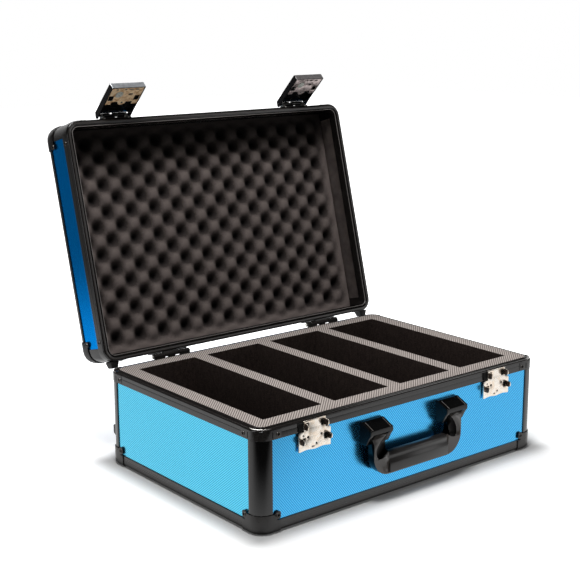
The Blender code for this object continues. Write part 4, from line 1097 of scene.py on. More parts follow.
@dataclass
class SkinnedParts:
    """The solids that keep their shape: dressed in their finishes, or rounded off as a copy."""

    finishes: Finishes
    weld: float = 0.000005
    upright: Point = (0.00305, 0.00382)
    level: Point = (0.00382, 0.00308)
    # Painted light: lit, between and shaded are lit and shaded copies of one skin's tones. The base's ends
    # take lit, the lid's left panel shaded and the lid's other panels between, while the base's front and
    # rear keep the skin's own tones.
    lit: tuple[Colour, ...] = ((0.05, 0.46, 0.73), (0.10, 0.62, 0.91), (0.26, 0.91, 1.0))
    between: tuple[Colour, ...] = ((0.008, 0.24, 0.69), (0.022, 0.41, 0.92), (0.07, 0.68, 1.0),
                                   (0.35, 0.65, 1.0))
    shaded: tuple[Colour, ...] = ((0.0, 0.185, 0.67), (0.001, 0.345, 0.93), (0.003, 0.60, 1.0),
                                  (0.05, 0.45, 1.0))
    # Painted reflection: the left latch's nose is paler than the right one's, a lit and a shaded copy of one
    # tone.
    left_nose_reflection: Colour = (0.46, 0.48, 0.50)
    right_nose_reflection: Colour = (0.25, 0.235, 0.235)

    def dress(self, node: str, material: Material) -> None:
        """Gives a solid its finish.

        Args:
            node: The solid's name.
            material: Its finish.
        """
        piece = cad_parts[node]
        if not piece.material_slots:
            piece.data.materials.append(material)
        for slot in piece.material_slots:
            slot.material = material
        LOG.info("%s dressed in %s", node, material.name)

    def round_off(self, node: str, material: Material, body: Body) -> None:
        """Stands a copy in for a solid, with its facets merged so that round corners shade smooth.

        Args:
            node: The solid's name.
            material: Its finish.
            body: The body that it rides on.
        """
        work = bmesh.new()
        work.from_mesh(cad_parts[node].data)
        bmesh.ops.remove_doubles(work, verts=work.verts, dist=self.weld)
        piece = finished(f"{node}_rounded", work, (material,), body, replaces=(node,))
        piece.modifiers.new("flat_faces_stay_flat", "WEIGHTED_NORMAL").keep_sharp = True

    def panels(self) -> None:
        """Dresses the wall panels of base and lid, and the lid's top, in lit and shaded copies of one skin,
        which are painted light.
        """
        walls = {"front": (-ALONG_Y, ALONG_X, 1), "right": (ALONG_X, ALONG_Y, 1),
                 "rear": (ALONG_Y, -ALONG_X, 1), "left": (-ALONG_X, -ALONG_Y, -1)}
        turn = SIZES.lid_frame.to_3x3()
        for side, (outward, across, slant) in walls.items():
            cell, tones = (self.level, self.lit) if side in ("left", "right") else (self.upright, ())
            skin = WovenSkin(f"woven_skin_base_{side}", outward, across, UP, slant, cell, *tones)
            self.dress(f"base_{side}_panel", skin.make())
            tones = self.shaded if side == "left" else self.between
            ways = (turn @ outward, turn @ across, turn @ UP)
            skin = WovenSkin(f"woven_skin_lid_{side}", *ways, slant, cell, *tones)
            self.dress(f"lid_{side}_panel", skin.make())
        ways = (turn @ UP, ALONG_X, turn @ ALONG_Y)
        skin = WovenSkin("woven_skin_lid_top", *ways, 1, self.upright, *self.between)
        self.dress("lid_top_panel", skin.make())

    def frames(self) -> None:
        """Dresses rails, posts, caps and rims, and the floor board."""
        shown = self.finishes
        for sides, base_finish, lid_finish in ((("front", "rear"), shown.rail_x, shown.lid_rail),
                                               (("left", "right"), shown.rail_y, shown.lid_side_rail)):
            for side in sides:
                self.round_off(f"base_lower_rail_{side}", base_finish, Body.BASE)
                self.round_off(f"lid_edge_rail_{side}", lid_finish, Body.LID)
        for corner, *_ in CORNERS:
            self.round_off(f"base_post_{corner}", shown.post, Body.BASE)
            self.round_off(f"base_corner_cap_{corner}", shown.cap, Body.BASE)
            self.round_off(f"lid_corner_cap_{corner}", shown.lid_cap, Body.LID)
        self.round_off("base_rim", shown.rim, Body.BASE)
        self.round_off("lid_rim", shown.lid_rim, Body.LID)
        self.dress("base_floor_panel", shown.board)

    def fittings(self) -> None:
        """Dresses hinges, latches, locks and the handle."""
        shown = self.finishes
        nose_way = SIZES.latch_frame.to_3x3() @ -UP
        for side, hand in BOTH_SIDES:
            self.dress(f"hinge_{side}_base_leaf", shown.cap)
            self.dress(f"hinge_{side}_lid_leaf", shown.cap)
            self.dress(f"hinge_{side}_pin", shown.bright)
            self.dress(f"lock_cylinder_{side}", shown.cylinder)
            bracket = BracketSteel(f"bracket_steel_{side}", hand * SIZES.latch_place)
            self.dress(f"latch_bracket_{side}", bracket.make())
            nose = self.left_nose_reflection if side == "left" else self.right_nose_reflection
            self.dress(f"latch_cover_{side}", CoverSteel(f"latch_cover_steel_{side}", nose_way, nose).make())
            self.round_off(f"handle_bracket_{side}", shown.hood, Body.BASE)
        self.round_off("handle_bail", shown.arm, Body.HANDLE)

    def build(self) -> None:
        """Dresses them all."""
        self.panels()
        self.frames()
        self.fittings()


@dataclass
class FoamInsert:
    """Foam block with four lanes on its floor pad."""

    finishes: Finishes
    lane_width: float = 0.0915
    margin: float = 0.030
    lane_depth: float = 0.0975
    lanes: int = 4
    lane_corner: float = 0.0012
    inset: float = 0.0082
    stand: float = 0.0008
    cut_edge: float = 0.0011
    pad_bottom: float = 0.0083
    pad_edge: float = 0.0015

    @property
    def top(self) -> float:
        """Height of the block's top."""
        return SIZES.rim_height + self.stand

    def block_with_lanes(self) -> None:
        """Builds the block, with a rounded cut edge round its top and the mouths of its lanes."""
        half_x, half_y = SIZES.half_length, SIZES.half_depth
        half = (half_x - self.inset, half_y - self.inset)
        loops = [rounded((0, 0), half, SIZES.corner_radius - self.inset, 6)]
        divider = (SIZES.length - 2 * self.margin - self.lanes * self.lane_width) / (self.lanes - 1)
        half = (self.lane_width / 2, half_y - self.margin)
        for lane in range(self.lanes):
            middle = self.margin - half_x + lane * (self.lane_width + divider) + self.lane_width / 2
            loops.append(rounded((middle, 0), half, self.lane_corner, 2))
        work = stamping(loops, self.lane_depth, self.top - self.lane_depth)
        mouths = [edge for edge in work.edges if edge.is_manifold and edge.calc_face_angle(0) > SHARP
                  and all(vertex.co.z > self.top - NEAR for vertex in edge.verts)]
        bevel(work, mouths, self.cut_edge)
        for face in work.faces:
            face.material_index = 1 if face.normal.z > 0.6 else 0
        finish = (self.finishes.foam_wall, self.finishes.foam_skin)
        foam = finished("lane_foam_block", work, finish, Body.BASE, replaces=("slot_foam",))

    def pad(self) -> None:
        """Builds the floor pad."""
        low = (-SIZES.half_length + self.inset, -SIZES.half_depth + self.inset, self.pad_bottom)
        work = block(low, (-low[0], -low[1], self.top - self.lane_depth - SIZES.gap))
        upright = [edge for edge in work.edges if abs(edge.verts[0].co.z - edge.verts[1].co.z) > NEAR]
        bevel(work, upright, SIZES.corner_radius - self.inset, segments=6)
        edge_round(work, self.pad_edge)
        pad = finished("lane_floor_pad", work, (self.finishes.foam_wall,), Body.BASE,
                       replaces=("foam_floor_pad",))

    def build(self) -> None:
        """Builds the block and the pad."""
        self.block_with_lanes()
        self.pad()


@dataclass
class CrateSheet:
    """Egg-crate foam sheet glued in the lid."""

    finishes: Finishes
    pitch: float = 0.039
    swell: float = 0.0065
    thickness: float = 0.0125
    inset: float = 0.0083
    back_height: float = 0.1908
    cell: float = 0.0030
    border: float = 0.015
    narrowing: float = 1.6
    ripple: float = 0.0005
    ripple_scale: float = 70

    def build(self) -> None:
        """Builds the sheet with round peaks and pits that alternate like a chessboard."""
        half_x = SIZES.half_length - self.inset
        half_y = SIZES.half_depth - self.inset
        waves_x = round(4 * half_x / self.pitch)
        waves_y = round(4 * half_y / self.pitch)
        work = bmesh.new()
        bmesh.ops.create_grid(work, x_segments=round(2 * half_x / self.cell),
                              y_segments=round(2 * half_y / self.cell), size=1)
        outer = [edge for edge in work.edges if edge.is_boundary]
        extruded = bmesh.ops.extrude_edge_only(work, edges=outer)["geom"]
        rim = [item for item in extruded if isinstance(item, bmesh.types.BMEdge) and item.is_boundary]
        back = {vertex for edge in rim for vertex in edge.verts}
        for vertex in work.verts:
            column = (vertex.co.x + 1) * waves_x / 2
            row = (vertex.co.y + 1) * waves_y / 2
            vertex.co.x *= half_x
            vertex.co.y *= half_y
            if vertex in back:
                vertex.co.z = self.back_height
                continue
            wave = math.cos(math.pi * column) * math.cos(math.pi * row)
            inward = min(half_x - abs(vertex.co.x), half_y - abs(vertex.co.y))
            fade = min(max(inward / self.border, 0), 1)
            pit = ((1 - wave) / 2) ** self.narrowing * fade * fade * (3 - 2 * fade)
            ripple = self.ripple * noise.noise(vertex.co * self.ripple_scale)
            vertex.co.z = self.back_height - self.thickness - self.swell * (1 - 2 * pit) + ripple
        bmesh.ops.contextual_create(work, geom=rim)
        bmesh.ops.recalc_face_normals(work, faces=work.faces)
        sheet = finished("lid_crate_sheet", work, (self.finishes.crate,), Body.LID,
                         SIZES.lid_frame, smooth=75, replaces=("lid_foam",))


@dataclass
class CornerFittings:
    """Dished rivets of the corner castings and caps, and the slits in the base's castings."""

    finishes: Finishes
    rivet: RivetHead = RivetHead(0.0029, 0.0009, dish=0.0018)
    rivet_place: float = 0.0288
    base_rivet_drop: float = 0.0088
    lid_rivet_rise: float = 0.0092
    casting: float = 0.0005
    ear_place: float = 0.02755
    ear_height: float = 0.02245
    cap_face: float = 0.0013
    slit_place: float = 0.0204
    slit_drop: float = 0.0087
    slit_half: Point = (0.00065, 0.0037)
    slit_sunk: float = 0.0002
    slit_proud: float = 0.00008

    def face_frames(self, along: float, height: float, stand: float) -> tuple[Matrix, Matrix]:
        """Placements on the two faces of a corner, with Z outward.

        Args:
            along: Distance from the corner.
            height: Height on the face.
            stand: Distance off the face.

        Returns:
            The placement on the side face and on the end face.
        """
        side = axes((along, -stand, height), ALONG_X, UP)
        end = axes((-stand, along, height), -ALONG_Y, UP)
        return side, end

    def rivets(self, place: Matrix, spots: Iterable[Triple]) -> Mesh:
        """Dished rivets on both faces of a corner.

        Args:
            place: The corner's placement.
            spots: Distance from the corner, height and stand of each pair.

        Returns:
            The rivets.
        """
        faces = [face for spot in spots for face in self.face_frames(*spot)]
        return merged([(self.rivet.mesh(), place @ face) for face in faces])

    def slits(self, place: Matrix) -> Mesh:
        """A dark slit in each face of a base corner's casting.

        Args:
            place: The corner's placement.

        Returns:
            The slits.
        """
        half_x, half_y = self.slit_half
        low, high = (-half_x, -half_y, -self.slit_sunk), (half_x, half_y, self.casting + self.slit_proud)
        faces = self.face_frames(self.slit_place, SIZES.rim_height - self.slit_drop, 0)
        return merged([(block(low, high), place @ face) for face in faces])

    def build(self) -> None:
        """Builds rivets and slits of base and lid."""
        rim = SIZES.rim_height
        lid_ear = rim + SIZES.lid_height - self.ear_height
        heads, dark = (self.finishes.rivet, self.finishes.hollow), (self.finishes.hollow,)
        base_spots = ((self.rivet_place, rim - self.base_rivet_drop, self.casting),
                      (self.ear_place, self.ear_height, self.cap_face))
        lid_spots = ((self.rivet_place, rim + self.lid_rivet_rise, self.casting),
                     (self.ear_place, lid_ear, self.cap_face))
        for corner, place in SIZES.corner_frames():
            base_rivets, lid_rivets = self.rivets(place, base_spots), self.rivets(place, lid_spots)
            finished(f"base_corner_rivets_{corner}", base_rivets, heads, Body.BASE)
            finished(f"lid_corner_rivets_{corner}", lid_rivets, heads, Body.LID, SIZES.lid_frame)
            finished(f"base_corner_slits_{corner}", self.slits(place), dark, Body.BASE)


@dataclass
class LidBeads:
    """Fine ribs that run round the face of the lid's rim, each with its place and half sizes; their light
    tones are painted highlights.
    """

    finishes: Finishes
    strip: tuple[float, float, float, float] = (0.0035, 0.0004, 0.0016, 0.0003)
    highlight_bead: tuple[float, float, float, float] = (0.0083, 0.0013, 0.0004, 0.0004)

    def ring(self, inward: float, rise: float, half_width: float, half_height: float) -> Mesh:
        """A rib as a closed ring.

        Args:
            inward: Its distance from the lid's outer face.
            rise: Its height over the plane where lid and base meet.
            half_width: Half its width.
            half_height: Half its height.

        Returns:
            The rib.
        """
        work = bmesh.new()
        rounds = []
        for across, upward in circle((0, 0), 1, 8):
            away, lift = inward + half_width * across, SIZES.rim_height + rise + half_height * upward
            outline = rounded((0, 0), (SIZES.half_length - away, SIZES.half_depth - away),
                              SIZES.corner_radius - away, 8)
            drawn = drawn_loops(work, [outline])
            corners = {vertex for edge in drawn for vertex in edge.verts}
            bmesh.ops.translate(work, verts=list(corners), vec=(0, 0, lift))
            rounds.append(drawn)
        for near, far in zip(rounds, rounds[1:] + rounds[:1]):
            bmesh.ops.bridge_loops(work, edges=near + far)
        bmesh.ops.recalc_face_normals(work, faces=work.faces)
        return work

    def build(self) -> None:
        """Builds the ribs."""
        for name, sizes, finish in (("lid_rim_strip", self.strip, self.finishes.strip),
                                    ("lid_rim_bead", self.highlight_bead, self.finishes.highlight_bead)):
            finished(name, self.ring(*sizes), (finish,), Body.LID, SIZES.lid_frame)


@dataclass
class CornerLips:
    """Bright lip round each upper corner of the base's rim, a painted highlight."""

    finishes: Finishes
    inward: float = 0.0010
    drop: float = 0.0005
    radius: float = 0.00055
    steps: int = 14

    def build(self) -> None:
        """Builds the four lips by spinning a small round about each corner's centre."""
        centre = SIZES.corner_radius
        for corner, place in SIZES.corner_frames():
            work = bmesh.new()
            start = Matrix.Translation((self.inward, centre, SIZES.rim_height - self.drop))
            ring = bmesh.ops.create_circle(work, cap_ends=True, segments=8, radius=self.radius,
                                           matrix=start @ Matrix.Rotation(math.pi / 2, 4, "X"))["verts"]
            faces = list({face for vertex in ring for face in vertex.link_faces})
            bmesh.ops.spin(work, geom=faces, cent=(centre, centre, 0), axis=(0, 0, 1), dvec=(0, 0, 0),
                           angle=math.pi / 2, steps=self.steps, use_merge=False)
            bmesh.ops.recalc_face_normals(work, faces=work.faces)
            finished(f"rim_corner_lip_{corner}", work, (self.finishes.lip,), Body.BASE, place)


@dataclass(frozen=True)
class Tab:
    """A tab bent out of the keeper plate, whose window lies inward of it."""

    place: float
    height: float
    tall: float
    window: float
    root: float = 0.0012
    reach: float = 0.0092
    corner: float = 0.003
    thickness: float = 0.0016
    edge: float = 0.0003
    window_corner: float = 0.0008

    def hole(self, hand: int) -> Loop:
        """Outline of the window that it leaves, at the left for -1 and at the right for 1."""
        middle = hand * (self.place - self.thickness / 2 - self.window / 2)
        return rounded((middle, self.height), (self.window / 2, self.tall / 2), self.window_corner, 2)

    def mesh(self) -> Mesh:
        """Builds the tab, with X out of the plate and the second finish, painted shade, on its flanks.

        Returns:
            Its mesh.
        """
        low, high = self.height - self.tall / 2, self.height + self.tall / 2
        middle = self.reach - self.corner
        view = [(self.root, low), *arc((middle, low + self.corner), self.corner, 270, 360, 5),
                *arc((middle, high - self.corner), self.corner, 0, 90, 5), (self.root, high)]
        tab = stamping([view], self.thickness, -self.thickness / 2, self.edge)
        for face in tab.faces:
            face.material_index = 1 if abs(face.normal.z) > 0.9 else 0
        return tab


@dataclass
class Keeper:
    """Stamped keeper plate on the base, with two ears, two clips, its punched holes and a dark backing, whose
    sheet behind the windows is painted shade.
    """

    finishes: Finishes
    label: str
    side: int
    width: float = 0.050
    bottom: float = 0.0930
    shoulder: float = 0.1172
    top: float = 0.1305
    tongue: float = 0.034
    thickness: float = 0.0020
    edge: float = 0.00035
    corner: float = 0.0035
    scallop: float = 0.0012
    lobes: int = 2
    lobe_steps: int = 8
    holes: tuple[tuple[Point, float, int], ...] = (
        ((-0.0182, 0.1128), 0.0011, 12), ((-0.0105, 0.1096), 0.0018, 14), ((0.0104, 0.1098), 0.0016, 14),
        ((0.0024, 0.0996), 0.0014, 14))
    slot_place: Point = (-0.0032, 0.0968)
    slot_half: Point = (0.0019, 0.0006)
    slot_corner: float = 0.0005
    ear: Tab = Tab(0.0213, 0.1060, 0.0076, 0.0062)
    clip: Tab = Tab(0.0158, 0.1240, 0.0080, 0.0056)
    window_shade_place: Point = (0, 0.1070)
    window_shade_half: Point = (0.0228, 0.0078)
    window_shade_corner: float = 0.001
    window_shade_sheet: Point = (0.0008, -0.00058)
    dark_block_low: Triple = (-0.0250, 0.1184, -0.0004)
    dark_block_high: Triple = (-0.0164, 0.1290, 0.0018)
    dark_block_edge: float = 0.0012

    def outline(self) -> Loop:
        """Draws the plate, X from its middle and Y its height, with scallops along its bottom.

        Returns:
            Its outline.
        """
        half = self.width / 2
        points: Loop = [(-half, self.bottom)]
        for lobe in range(self.lobes):
            for step in range(1, self.lobe_steps + 1):
                share = step / self.lobe_steps
                lift = self.scallop * math.sin(math.pi * share) ** 2
                points.append((-half + self.width * (lobe + share) / self.lobes, self.bottom + lift))
        high = self.shoulder - self.corner
        side = self.tongue / 2
        points += arc((half - self.corner, high), self.corner, 0, 90, 5)
        points += [(side, self.shoulder), (side, self.top), (-side, self.top), (-side, self.shoulder)]
        return points + arc((self.corner - half, high), self.corner, 90, 180, 5)

    def plate(self) -> None:
        """Builds the plate with its bent tabs."""
        middle = self.side * SIZES.latch_place
        loops = [self.outline(), *(circle(*hole) for hole in self.holes),
                 rounded(self.slot_place, self.slot_half, self.slot_corner, 2)]
        tabs = [(tab, hand) for tab in (self.ear, self.clip) for hand in (-1, 1)]
        loops += [tab.hole(hand) for tab, hand in tabs]
        parts = [(stamping(loops, self.thickness, SIZES.gap, self.edge), SIZES.on_front(middle))]
        parts += [(tab.mesh(), SIZES.on_front(middle + hand * tab.place, -ALONG_Y)) for tab, hand in tabs]
        finish = (self.finishes.keeper, self.finishes.ear)
        finished(f"keeper_stamping_{self.label}", merged(parts), finish, Body.BASE,
                 replaces=(f"keeper_plate_{self.label}",))

    def backing(self) -> None:
        """Builds the dark sheet behind the ears' windows, which is painted shade, and the dark block beside
        the tongue.
        """
        # Painted shade: a dark sheet behind the windows.
        recess = rounded(self.window_shade_place, self.window_shade_half, self.window_shade_corner, 2)
        stop = block(self.dark_block_low, self.dark_block_high, self.dark_block_edge)
        backing = merged([(stamping([recess], *self.window_shade_sheet), Matrix()), (stop, Matrix())])
        finished(f"keeper_backing_{self.label}", backing, (self.finishes.hollow,), Body.BASE,
                 SIZES.on_front(self.side * SIZES.latch_place))

    def build(self) -> None:
        """Builds plate and backing."""
        self.plate()
        self.backing()


@dataclass
class Latch:
    """Lock plate, spring, rivets and web of one latch."""

    finishes: Finishes
    label: str
    side: int
    tip: float = 0.0840
    plate_start: float = 0.0015
    plate_length: float = 0.033
    plate_half: float = 0.0255
    plate_edge: float = 0.00025
    stand: float = 0.0036
    thickness: float = 0.0012
    notch: float = 0.0165
    notch_depth: float = 0.0050
    tongue_radius: float = 0.0065
    cylinder_place: Point = (-0.010, 0.0144)
    cylinder_hole: float = 0.0059
    ear_hole_place: Point = (0.0205, 0.1060)
    ear_hole_half: Point = (0.0040, 0.0048)
    ear_hole_corner: float = 0.0006
    tongue_hole_place: Point = (0.0004, 0.0016)
    tongue_hole: float = 0.0015
    slots: tuple[Point, ...] = ((-0.0160, 0.0016), (-0.0030, 0.0018), (0.0055, 0.0034), (0.0155, 0.0028))
    slot_rise: float = 0.0034
    slot_half: float = 0.0009
    slot_corner: float = 0.0008
    bolt_slot_place: float = 0.0085
    bolt_slot_half: Point = (0.0034, 0.0013)
    bolt_slot_corner: float = 0.0012
    wire: float = 0.00050
    coil_radius: float = 0.0025
    coil_turns: int = 4
    coil_length: float = 0.0042
    coil_middle: float = 0.0040
    turn_steps: int = 16
    rivet: RivetHead = RivetHead(0.0022, 0.0010)
    rivet_rise: float = 0.0215
    rivet_spacing: float = 0.0125
    webs: tuple[Point, ...] = ((-0.0165, 0.0015), (0.0065, 0.0165))
    web_low: Point = (0.1425, 0.0018)
    web_high: Point = (0.1460, 0.0050)
    web_edge: float = 0.0004

    @property
    def middle(self) -> float:
        """Where the latch lies along the case."""
        return self.side * SIZES.latch_place

    def plate_loops(self) -> list[Loop]:
        """Draws the lock plate and its holes for cylinder, keeper's ears, bolt and fastenings.

        Returns:
            Its outline and then its holes.
        """
        low = self.tip + self.plate_start
        high = low + self.plate_length
        bay = high - self.notch_depth
        half, notch = self.plate_half, self.notch
        cylinder_x, cylinder_y = self.cylinder_place[0], self.tip + self.cylinder_place[1]
        outline = [(-half, low), (half, low), (half, high), (notch, high), (notch, bay)]
        outline += arc((0, bay), self.tongue_radius, 0, 180, 14)
        outline += [(-notch, bay), (-notch, high), (-half, high)]
        loops = [outline, circle((cylinder_x, cylinder_y), self.cylinder_hole, 28)]
        ear_x, ear_y = self.ear_hole_place
        loops += [rounded((hand * ear_x, ear_y), self.ear_hole_half, self.ear_hole_corner, 2)
                  for hand in (-1, 1)]
        hole_x, hole_rise = self.tongue_hole_place
        loops.append(circle((hole_x, bay + hole_rise), self.tongue_hole, 14))
        loops += [rounded((middle, low + self.slot_rise), (width, self.slot_half), self.slot_corner, 2)
                  for middle, width in self.slots]
        bolt_slot = rounded((self.bolt_slot_place, cylinder_y), self.bolt_slot_half, self.bolt_slot_corner, 3)
        return [*loops, bolt_slot]

    def lock_plate(self) -> None:
        """Builds the stamped plate, notched at the inner edge, with bright cut edges."""
        work = stamping(self.plate_loops(), self.thickness, self.stand, self.plate_edge)
        for face in work.faces:
            face.material_index = 1 if abs(face.normal.z) < 0.8 else 0
        finish = self.finishes.lock_left if self.side < 0 else self.finishes.lock_right
        body = Body.LATCH_LEFT if self.side < 0 else Body.LATCH_RIGHT
        finished(f"lock_stamping_{self.label}", work, (finish, self.finishes.bright), body,
                 SIZES.latch_frame @ SIZES.on_front(self.middle), replaces=(f"lock_plate_{self.label}",))

    def coil(self) -> Mesh:
        """Winds the spring's wire along Z and closes its ends.

        Returns:
            Its mesh.
        """
        work = bmesh.new()
        start = Matrix.Translation((self.coil_radius, 0, 0)) @ Matrix.Rotation(math.pi / 2, 4, "X")
        bmesh.ops.create_circle(work, cap_ends=False, segments=8, radius=self.wire, matrix=start)
        steps = self.coil_turns * self.turn_steps
        climb = (0, 0, self.coil_length / steps)
        bmesh.ops.spin(work, geom=work.edges[:], cent=(0, 0, 0), axis=(0, 0, 1), dvec=climb,
                       angle=2 * math.pi * self.coil_turns, steps=steps, use_merge=False)
        bmesh.ops.holes_fill(work, edges=[edge for edge in work.edges if edge.is_boundary], sides=8)
        bmesh.ops.recalc_face_normals(work, faces=work.faces)
        return work

    def spring(self) -> None:
        """Builds the coil on the hinge pin and the bracket's rivets."""
        spot = (SIZES.latch_stand, SIZES.latch_pivot, -self.coil_middle - self.coil_length / 2)
        parts = [(self.coil(), SIZES.on_front(self.middle, -ALONG_Y) @ Matrix.Translation(spot))]
        for place in (-self.rivet_spacing, 0, self.rivet_spacing):
            spot = (place, SIZES.rim_height + self.rivet_rise, SIZES.gap + SIZES.sheet)
            parts.append((self.rivet.mesh(), SIZES.on_front(self.middle) @ Matrix.Translation(spot)))
        finished(f"latch_spring_{self.label}", merged(parts), (self.finishes.bright,), Body.LID,
                 SIZES.lid_frame)

    def web(self) -> None:
        """Builds the dark web that carries the hinge pin's knuckles."""
        place = SIZES.on_front(self.middle)
        spans = [(block((start, *self.web_low), (end, *self.web_high), self.web_edge), place)
                 for start, end in self.webs]
        finished(f"latch_web_{self.label}", merged(spans), (self.finishes.hollow,), Body.LID,
                 SIZES.lid_frame)

    def build(self) -> None:
        """Builds the latch's pieces."""
        self.lock_plate()
        self.spring()
        self.web()


@dataclass
class Handle:
    """Soft grip over the bail's bar, and the ribs on the brackets' hoods."""

    finishes: Finishes
    length: float = 0.104
    bottom: float = 0.0401
    back: Point = (0.0045, 0.0595)
    front: Point = (0.0195, 0.0515)
    back_crown: tuple[Point, float] = ((0.0090, 0.0617), 0.0045)
    front_crown: tuple[Point, float] = ((0.0120, 0.0612), 0.0050)
    valley: tuple[Point, ...] = ((0.0167, 0.0588), (0.0168, 0.0570), (0.0174, 0.0555), (0.0190, 0.0534))
    channel: Point = (0.0077, 0.0153)
    channel_top: float = 0.0583
    edge: float = 0.0006
    arm_place: float = 0.0673
    slope_top: Point = (0.0030, 0.1090)
    slope_foot: Point = (0.0200, 0.1013)
    rib_place: float = 0.0148
    rib_low: Triple = (0.0012, -0.0004, -0.00045)
    rib_half: float = 0.00045
    rib_end: float = 0.0008
    rib_edge: float = 0.0003

    def grip(self) -> None:
        """Builds the grip: round crown, valley below it, flat face, open underneath."""
        inner, outer = self.channel
        low, high = self.bottom, self.channel_top
        view: Loop = [(self.back[0], low), self.back, *arc(*self.back_crown, 165, 95, 6)]
        view += [*arc(*self.front_crown, 85, -15, 8), *self.valley, self.front, (self.front[0], low)]
        view += [(outer, low), (outer, high), (inner, high), (inner, low)]
        work = stamping([view], self.length, -self.length / 2, self.edge)
        finished("handle_grip_sleeve", work, (self.finishes.grip,), Body.HANDLE,
                 SIZES.on_front(0, -ALONG_Y), smooth=50, replaces=("handle_grip",))

    def hoods(self) -> None:
        """Builds the raised ribs along both edges of each hood's slope, whose light finish is a painted
        highlight.
        """
        (near, high), (far, low) = self.slope_top, self.slope_foot
        slope = Vector((0, near - far, low - high))
        run = slope.length
        down = slope / run
        for label, side in BOTH_SIDES:
            parts = []
            for hand in (-1, 1):
                rib = block(self.rib_low, (run - self.rib_end, self.rib_half, self.rib_half), self.rib_edge)
                corner = (side * self.arm_place + hand * self.rib_place, -SIZES.half_depth - near, high)
                parts.append((rib, axes(corner, down, Vector((0, down.z, -down.y)))))
            finished(f"hood_ribs_{label}", merged(parts), (self.finishes.hood_rib_highlight,), Body.BASE)

    def build(self) -> None:
        """Builds the handle's pieces."""
        self.grip()
        self.hoods()


@dataclass
class HingeSide:
    """Rubber feet and hinge rivets on the back."""

    finishes: Finishes
    foot_place: float = 0.230
    base_foot: float = 0.042
    lid_foot: float = 0.142
    foot_low: Triple = (-0.0069, 0.0004, -0.0079)
    foot_high: Triple = (0.0069, 0.0095, 0.0079)
    foot_taper: Triple = (0.7, 1, 0.74)
    foot_edge: float = 0.0011
    foot_sunk: float = 0.0002
    cup_rim: float = 0.0022
    cup_wall: float = 0.0006
    cup_depth: float = 0.0018
    hinge_place: float = 0.140
    rivet: RivetHead = RivetHead(0.0019, 0.0008)
    rivet_spacing: float = 0.022
    base_rivet_drop: float = 0.0062
    lid_rivet_rise: float = 0.0100

    def foot(self) -> Mesh:
        """Builds a tapered foot with a shallow cup in its sole, with Y outward.

        Returns:
            Its mesh.
        """
        work = block(self.foot_low, self.foot_high)
        outer = [vertex for vertex in work.verts if vertex.co.y > self.foot_high[1] / 2]
        bmesh.ops.scale(work, vec=self.foot_taper, verts=outer)
        edge_round(work, self.foot_edge, segments=3)
        top = max(work.faces, key=lambda face: face.calc_center_median().y)
        bmesh.ops.inset_region(work, faces=[top], thickness=self.cup_rim, depth=0)
        bmesh.ops.inset_region(work, faces=[top], thickness=self.cup_wall, depth=-self.cup_depth)
        return work

    def feet(self, label: str, side: int) -> None:
        """Builds the feet of base and lid at one end.

        Args:
            label: Which end.
            side: -1 for the left, 1 for the right.
        """
        for name, node, height, body, carry in (
                ("base", "base_rear_foot", self.base_foot, Body.BASE, Matrix()),
                ("lid", "lid_foot", self.lid_foot, Body.LID, SIZES.lid_frame)):
            spot = Matrix.Translation((side * self.foot_place, SIZES.half_depth - self.foot_sunk, height))
            finished(f"rubber_foot_{name}_{label}", self.foot(), (self.finishes.rubber,), body,
                     carry @ spot, replaces=(f"{node}_{label}",))

    def rivets(self, label: str, side: int) -> None:
        """Builds the rivets of one hinge's two leaves.

        Args:
            label: Which hinge.
            side: -1 for the left, 1 for the right.
        """
        face = SIZES.half_depth + SIZES.gap + SIZES.sheet
        for body, height, carry in ((Body.BASE, SIZES.rim_height - self.base_rivet_drop, Matrix()),
                                    (Body.LID, SIZES.rim_height + self.lid_rivet_rise, SIZES.lid_frame)):
            parts = []
            for place in (-self.rivet_spacing, 0, self.rivet_spacing):
                spot = axes((side * self.hinge_place + place, face, height), -ALONG_X, UP)
                parts.append((self.rivet.mesh(), carry @ spot))
            finished(f"hinge_rivets_{label}_{body.name.lower()}", merged(parts), (self.finishes.rivet,), body)

    def build(self) -> None:
        """Builds feet and rivets."""
        for label, side in BOTH_SIDES:
            self.feet(label, side)
            self.rivets(label, side)


@dataclass(frozen=True)
class Lamp:
    """A soft lamp that points at the case: where it hangs, its power in watts and its width."""

    name: str
    place: Triple
    power: float
    size: float
    target: Triple = (0, 0.05, 0.2)

    def hang(self) -> None:
        """Adds the lamp."""
        data = bpy.data.lights.new(self.name, "AREA")
        data.energy, data.size, data.shape = self.power, self.size, "SQUARE"
        lamp = bpy.data.objects.new(self.name, data)
        aim = Vector(self.target) - Vector(self.place)
        lamp.matrix_world = Matrix.Translation(self.place) @ aim.to_track_quat("-Z", "Y").to_matrix().to_4x4()
        bpy.context.scene.collection.objects.link(lamp)


